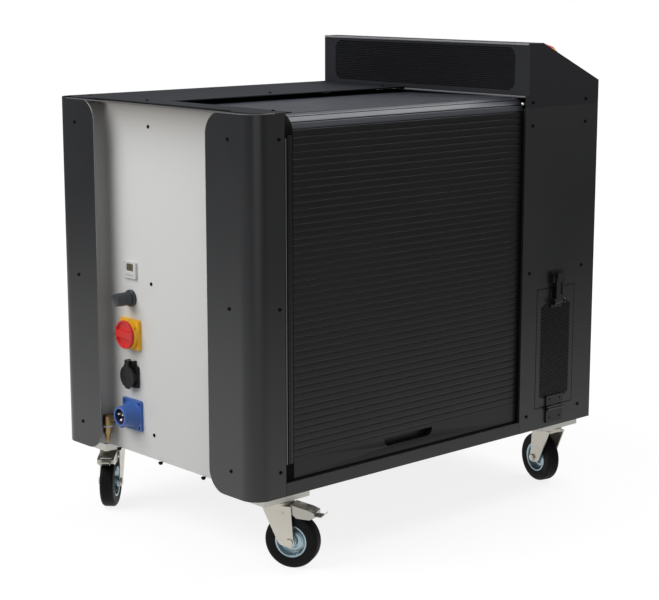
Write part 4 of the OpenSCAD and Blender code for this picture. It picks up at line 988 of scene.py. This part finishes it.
for k in range(len(casterSites)):
    tag = str(k + 1)
    closedPiece("tyre_" + tag + "_turned", [onWheel(turned(tyreProfile(), 96), k)], "rubber", "rubber_black",
                ["tyre_" + tag], "wheel_" + tag, sharp=38)
    closedPiece("rim_" + tag + "_pressed", [onWheel(turned(rimProfile(), 72), k)], "rimSteel", "rim_steel",
                ["rim_" + tag], "wheel_" + tag, sharp=38)
    softened("fork_" + tag, "zinc", "zinc", 0.7)
for node in ("pedal_1", "pedal_2"):
    softened(node, "pedalZinc", "zinc", 0.6)
print("casters made")

# Parts inside
inside = {"laser_source": ("innerSheet", "source_metal"), "coolant_tank": ("tankPlastic", "tank_plastic"),
          "coolant_pump": ("pumpPaint", "pump_paint"), "radiator": ("finMetal", "fin_metal"),
          "fan_rotor": ("blackPlastic", "black_plastic")}
for node, (look, slot) in inside.items():
    softened(node, look, slot, 0.8)

# Floor, light, camera: plain is the floor's own grey, soft the grey that takes the shadow where it is
# looked at, and seen and mirrored are its glow when looked at and in mirrors
stageLook = {"floorSize": 30.0, "plain": 0.34, "soft": 0.22,
             "seen": {"centre": (0.0, 0.0), "near": 0.8, "far": 3.0, "nearLight": 0.84, "farLight": 0.98},
             "mirrored": {"centre": (-0.75, 0.35), "near": 0.7, "far": 4.6, "nearLight": 1.15,
                          "farLight": 0.05}}


def ownLight(tree, fall):
    # a white glow whose strength runs smoothly with the distance from a point on the floor
    at = tree.nodes.new("ShaderNodeTexCoord")
    away = tree.nodes.new("ShaderNodeVectorMath")
    away.operation = "DISTANCE"
    away.inputs[1].default_value = (*fall["centre"], 0)
    tree.links.new(at.outputs["Object"], away.inputs[0])
    ramp = tree.nodes.new("ShaderNodeMapRange")
    ramp.inputs["From Min"].default_value = fall["near"]
    ramp.inputs["From Max"].default_value = fall["far"]
    ramp.inputs["To Min"].default_value = fall["nearLight"]
    ramp.inputs["To Max"].default_value = fall["farLight"]
    tree.links.new(away.outputs["Value"], ramp.inputs["Value"])
    glow = tree.nodes.new("ShaderNodeEmission")
    tree.links.new(ramp.outputs["Result"], glow.inputs["Strength"])
    return glow.outputs[0]


def mixed(tree, share, low, high):
    # low where the share is 0, high where it is 1
    pick = tree.nodes.new("ShaderNodeMixShader")
    tree.links.new(share, pick.inputs[0])
    tree.links.new(low, pick.inputs[1])
    tree.links.new(high, pick.inputs[2])
    return pick.outputs[0]


def seenDirectly(tree, path):
    # rays from the viewer and rays let through clear things
    either = tree.nodes.new("ShaderNodeMath")
    either.operation = "MAXIMUM"
    tree.links.new(path.outputs["Is Camera Ray"], either.inputs[0])
    tree.links.new(path.outputs["Is Transmission Ray"], either.inputs[1])
    return either.outputs[0]


def floorMaterial():
    # seen directly: mostly its own white with the shadow laid over it; mirrored: bright near the machine
    material = bpy.data.materials.new("paleFloor")
    material.use_nodes = True
    tree = material.node_tree
    tree.nodes.clear()
    out = tree.nodes.new("ShaderNodeOutputMaterial")
    path = tree.nodes.new("ShaderNodeLightPath")
    plain = tree.nodes.new("ShaderNodeBsdfDiffuse")
    plain.inputs["Color"].default_value = (stageLook["plain"],) * 3 + (1,)
    soft = tree.nodes.new("ShaderNodeBsdfDiffuse")
    soft.inputs["Color"].default_value = (stageLook["soft"],) * 3 + (1,)
    both = tree.nodes.new("ShaderNodeAddShader")
    tree.links.new(soft.outputs[0], both.inputs[0])
    tree.links.new(ownLight(tree, stageLook["seen"]), both.inputs[1])
    glossy = path.outputs["Is Glossy Ray"]
    result = mixed(tree, glossy, plain.outputs[0], ownLight(tree, stageLook["mirrored"]))
    result = mixed(tree, seenDirectly(tree, path), result, both.outputs[0])
    tree.links.new(result, out.inputs["Surface"])
    return material


half = stageLook["floorSize"] / 2
floorMesh = bpy.data.meshes.new("studio_floor")
floorMesh.from_pydata([(-half, -half, 0), (half, -half, 0), (half, half, 0), (-half, half, 0)], [],
                      [(0, 1, 2, 3)])
floor = bpy.data.objects.new("studio_floor", floorMesh)
bpy.context.scene.collection.objects.link(floor)
floorMesh.materials.append(floorMaterial())

# the room: grey as a light, white when looked at, a mid tone when mirrored
room = {"light": 0.20, "seen": 1.0, "mirrored": 0.25}
world = bpy.data.worlds.new("studio")
bpy.context.scene.world = world
world.use_nodes = True
tree = world.node_tree
shades = {}
for name, value in room.items():
    shades[name] = tree.nodes.new("ShaderNodeBackground")
    shades[name].inputs["Color"].default_value = (value, value, value, 1)
path = tree.nodes.new("ShaderNodeLightPath")
glossy = path.outputs["Is Glossy Ray"]
result = mixed(tree, glossy, shades["light"].outputs[0], shades["mirrored"].outputs[0])
result = mixed(tree, seenDirectly(tree, path), result, shades["seen"].outputs[0])
tree.links.new(result, tree.nodes["World Output"].inputs["Surface"])

# way is the direction from the machine's middle, far the distance and size the disk's width in metres
middleAt = Vector((0, 0, 0.5))
lamps = {
    "left": {"way": (-0.75, 0.24, 0.62), "far": 3.4, "size": 3.0, "level": 0.76},
    "overhead": {"way": (0.56, -0.15, 0.81), "far": 3.2, "size": 2.6, "level": 0.60},
    "front": {"way": (0.62, -0.77, 0.14), "far": 4.0, "size": 2.8, "level": 0.022},
    "fill": {"way": (-0.50, -0.86, 0.12), "far": 4.0, "size": 2.8, "level": 0.10},
}
for name, lamp in lamps.items():
    way = Vector(lamp["way"]).normalized()
    light = bpy.data.lights.new(name, "AREA")
    light.shape = "DISK"
    light.size = lamp["size"]
    # level times pi squared times distance squared
    light.energy = lamp["level"] * math.pi ** 2 * lamp["far"] ** 2
    holder = bpy.data.objects.new(name, light)
    holder.location = middleAt + way * lamp["far"]
    holder.rotation_euler = (-way).to_track_quat("-Z", "Y").to_euler()
    bpy.context.scene.collection.objects.link(holder)

view = {"lens": 92.8, "sensor": 36.0, "at": (-2.503, -2.747, 1.161), "tilt": 79.078, "turn": -42.206}
camera = bpy.data.cameras.new("viewpoint")
camera.lens = view["lens"]
camera.sensor_width = view["sensor"]
cameraHolder = bpy.data.objects.new("viewpoint", camera)
cameraHolder.location = view["at"]
cameraHolder.rotation_euler = (math.radians(view["tilt"]), 0, math.radians(view["turn"]))
bpy.context.scene.collection.objects.link(cameraHolder)
bpy.context.scene.camera = cameraHolder
bpy.context.scene.view_settings.view_transform = "Standard"
print("stage made")
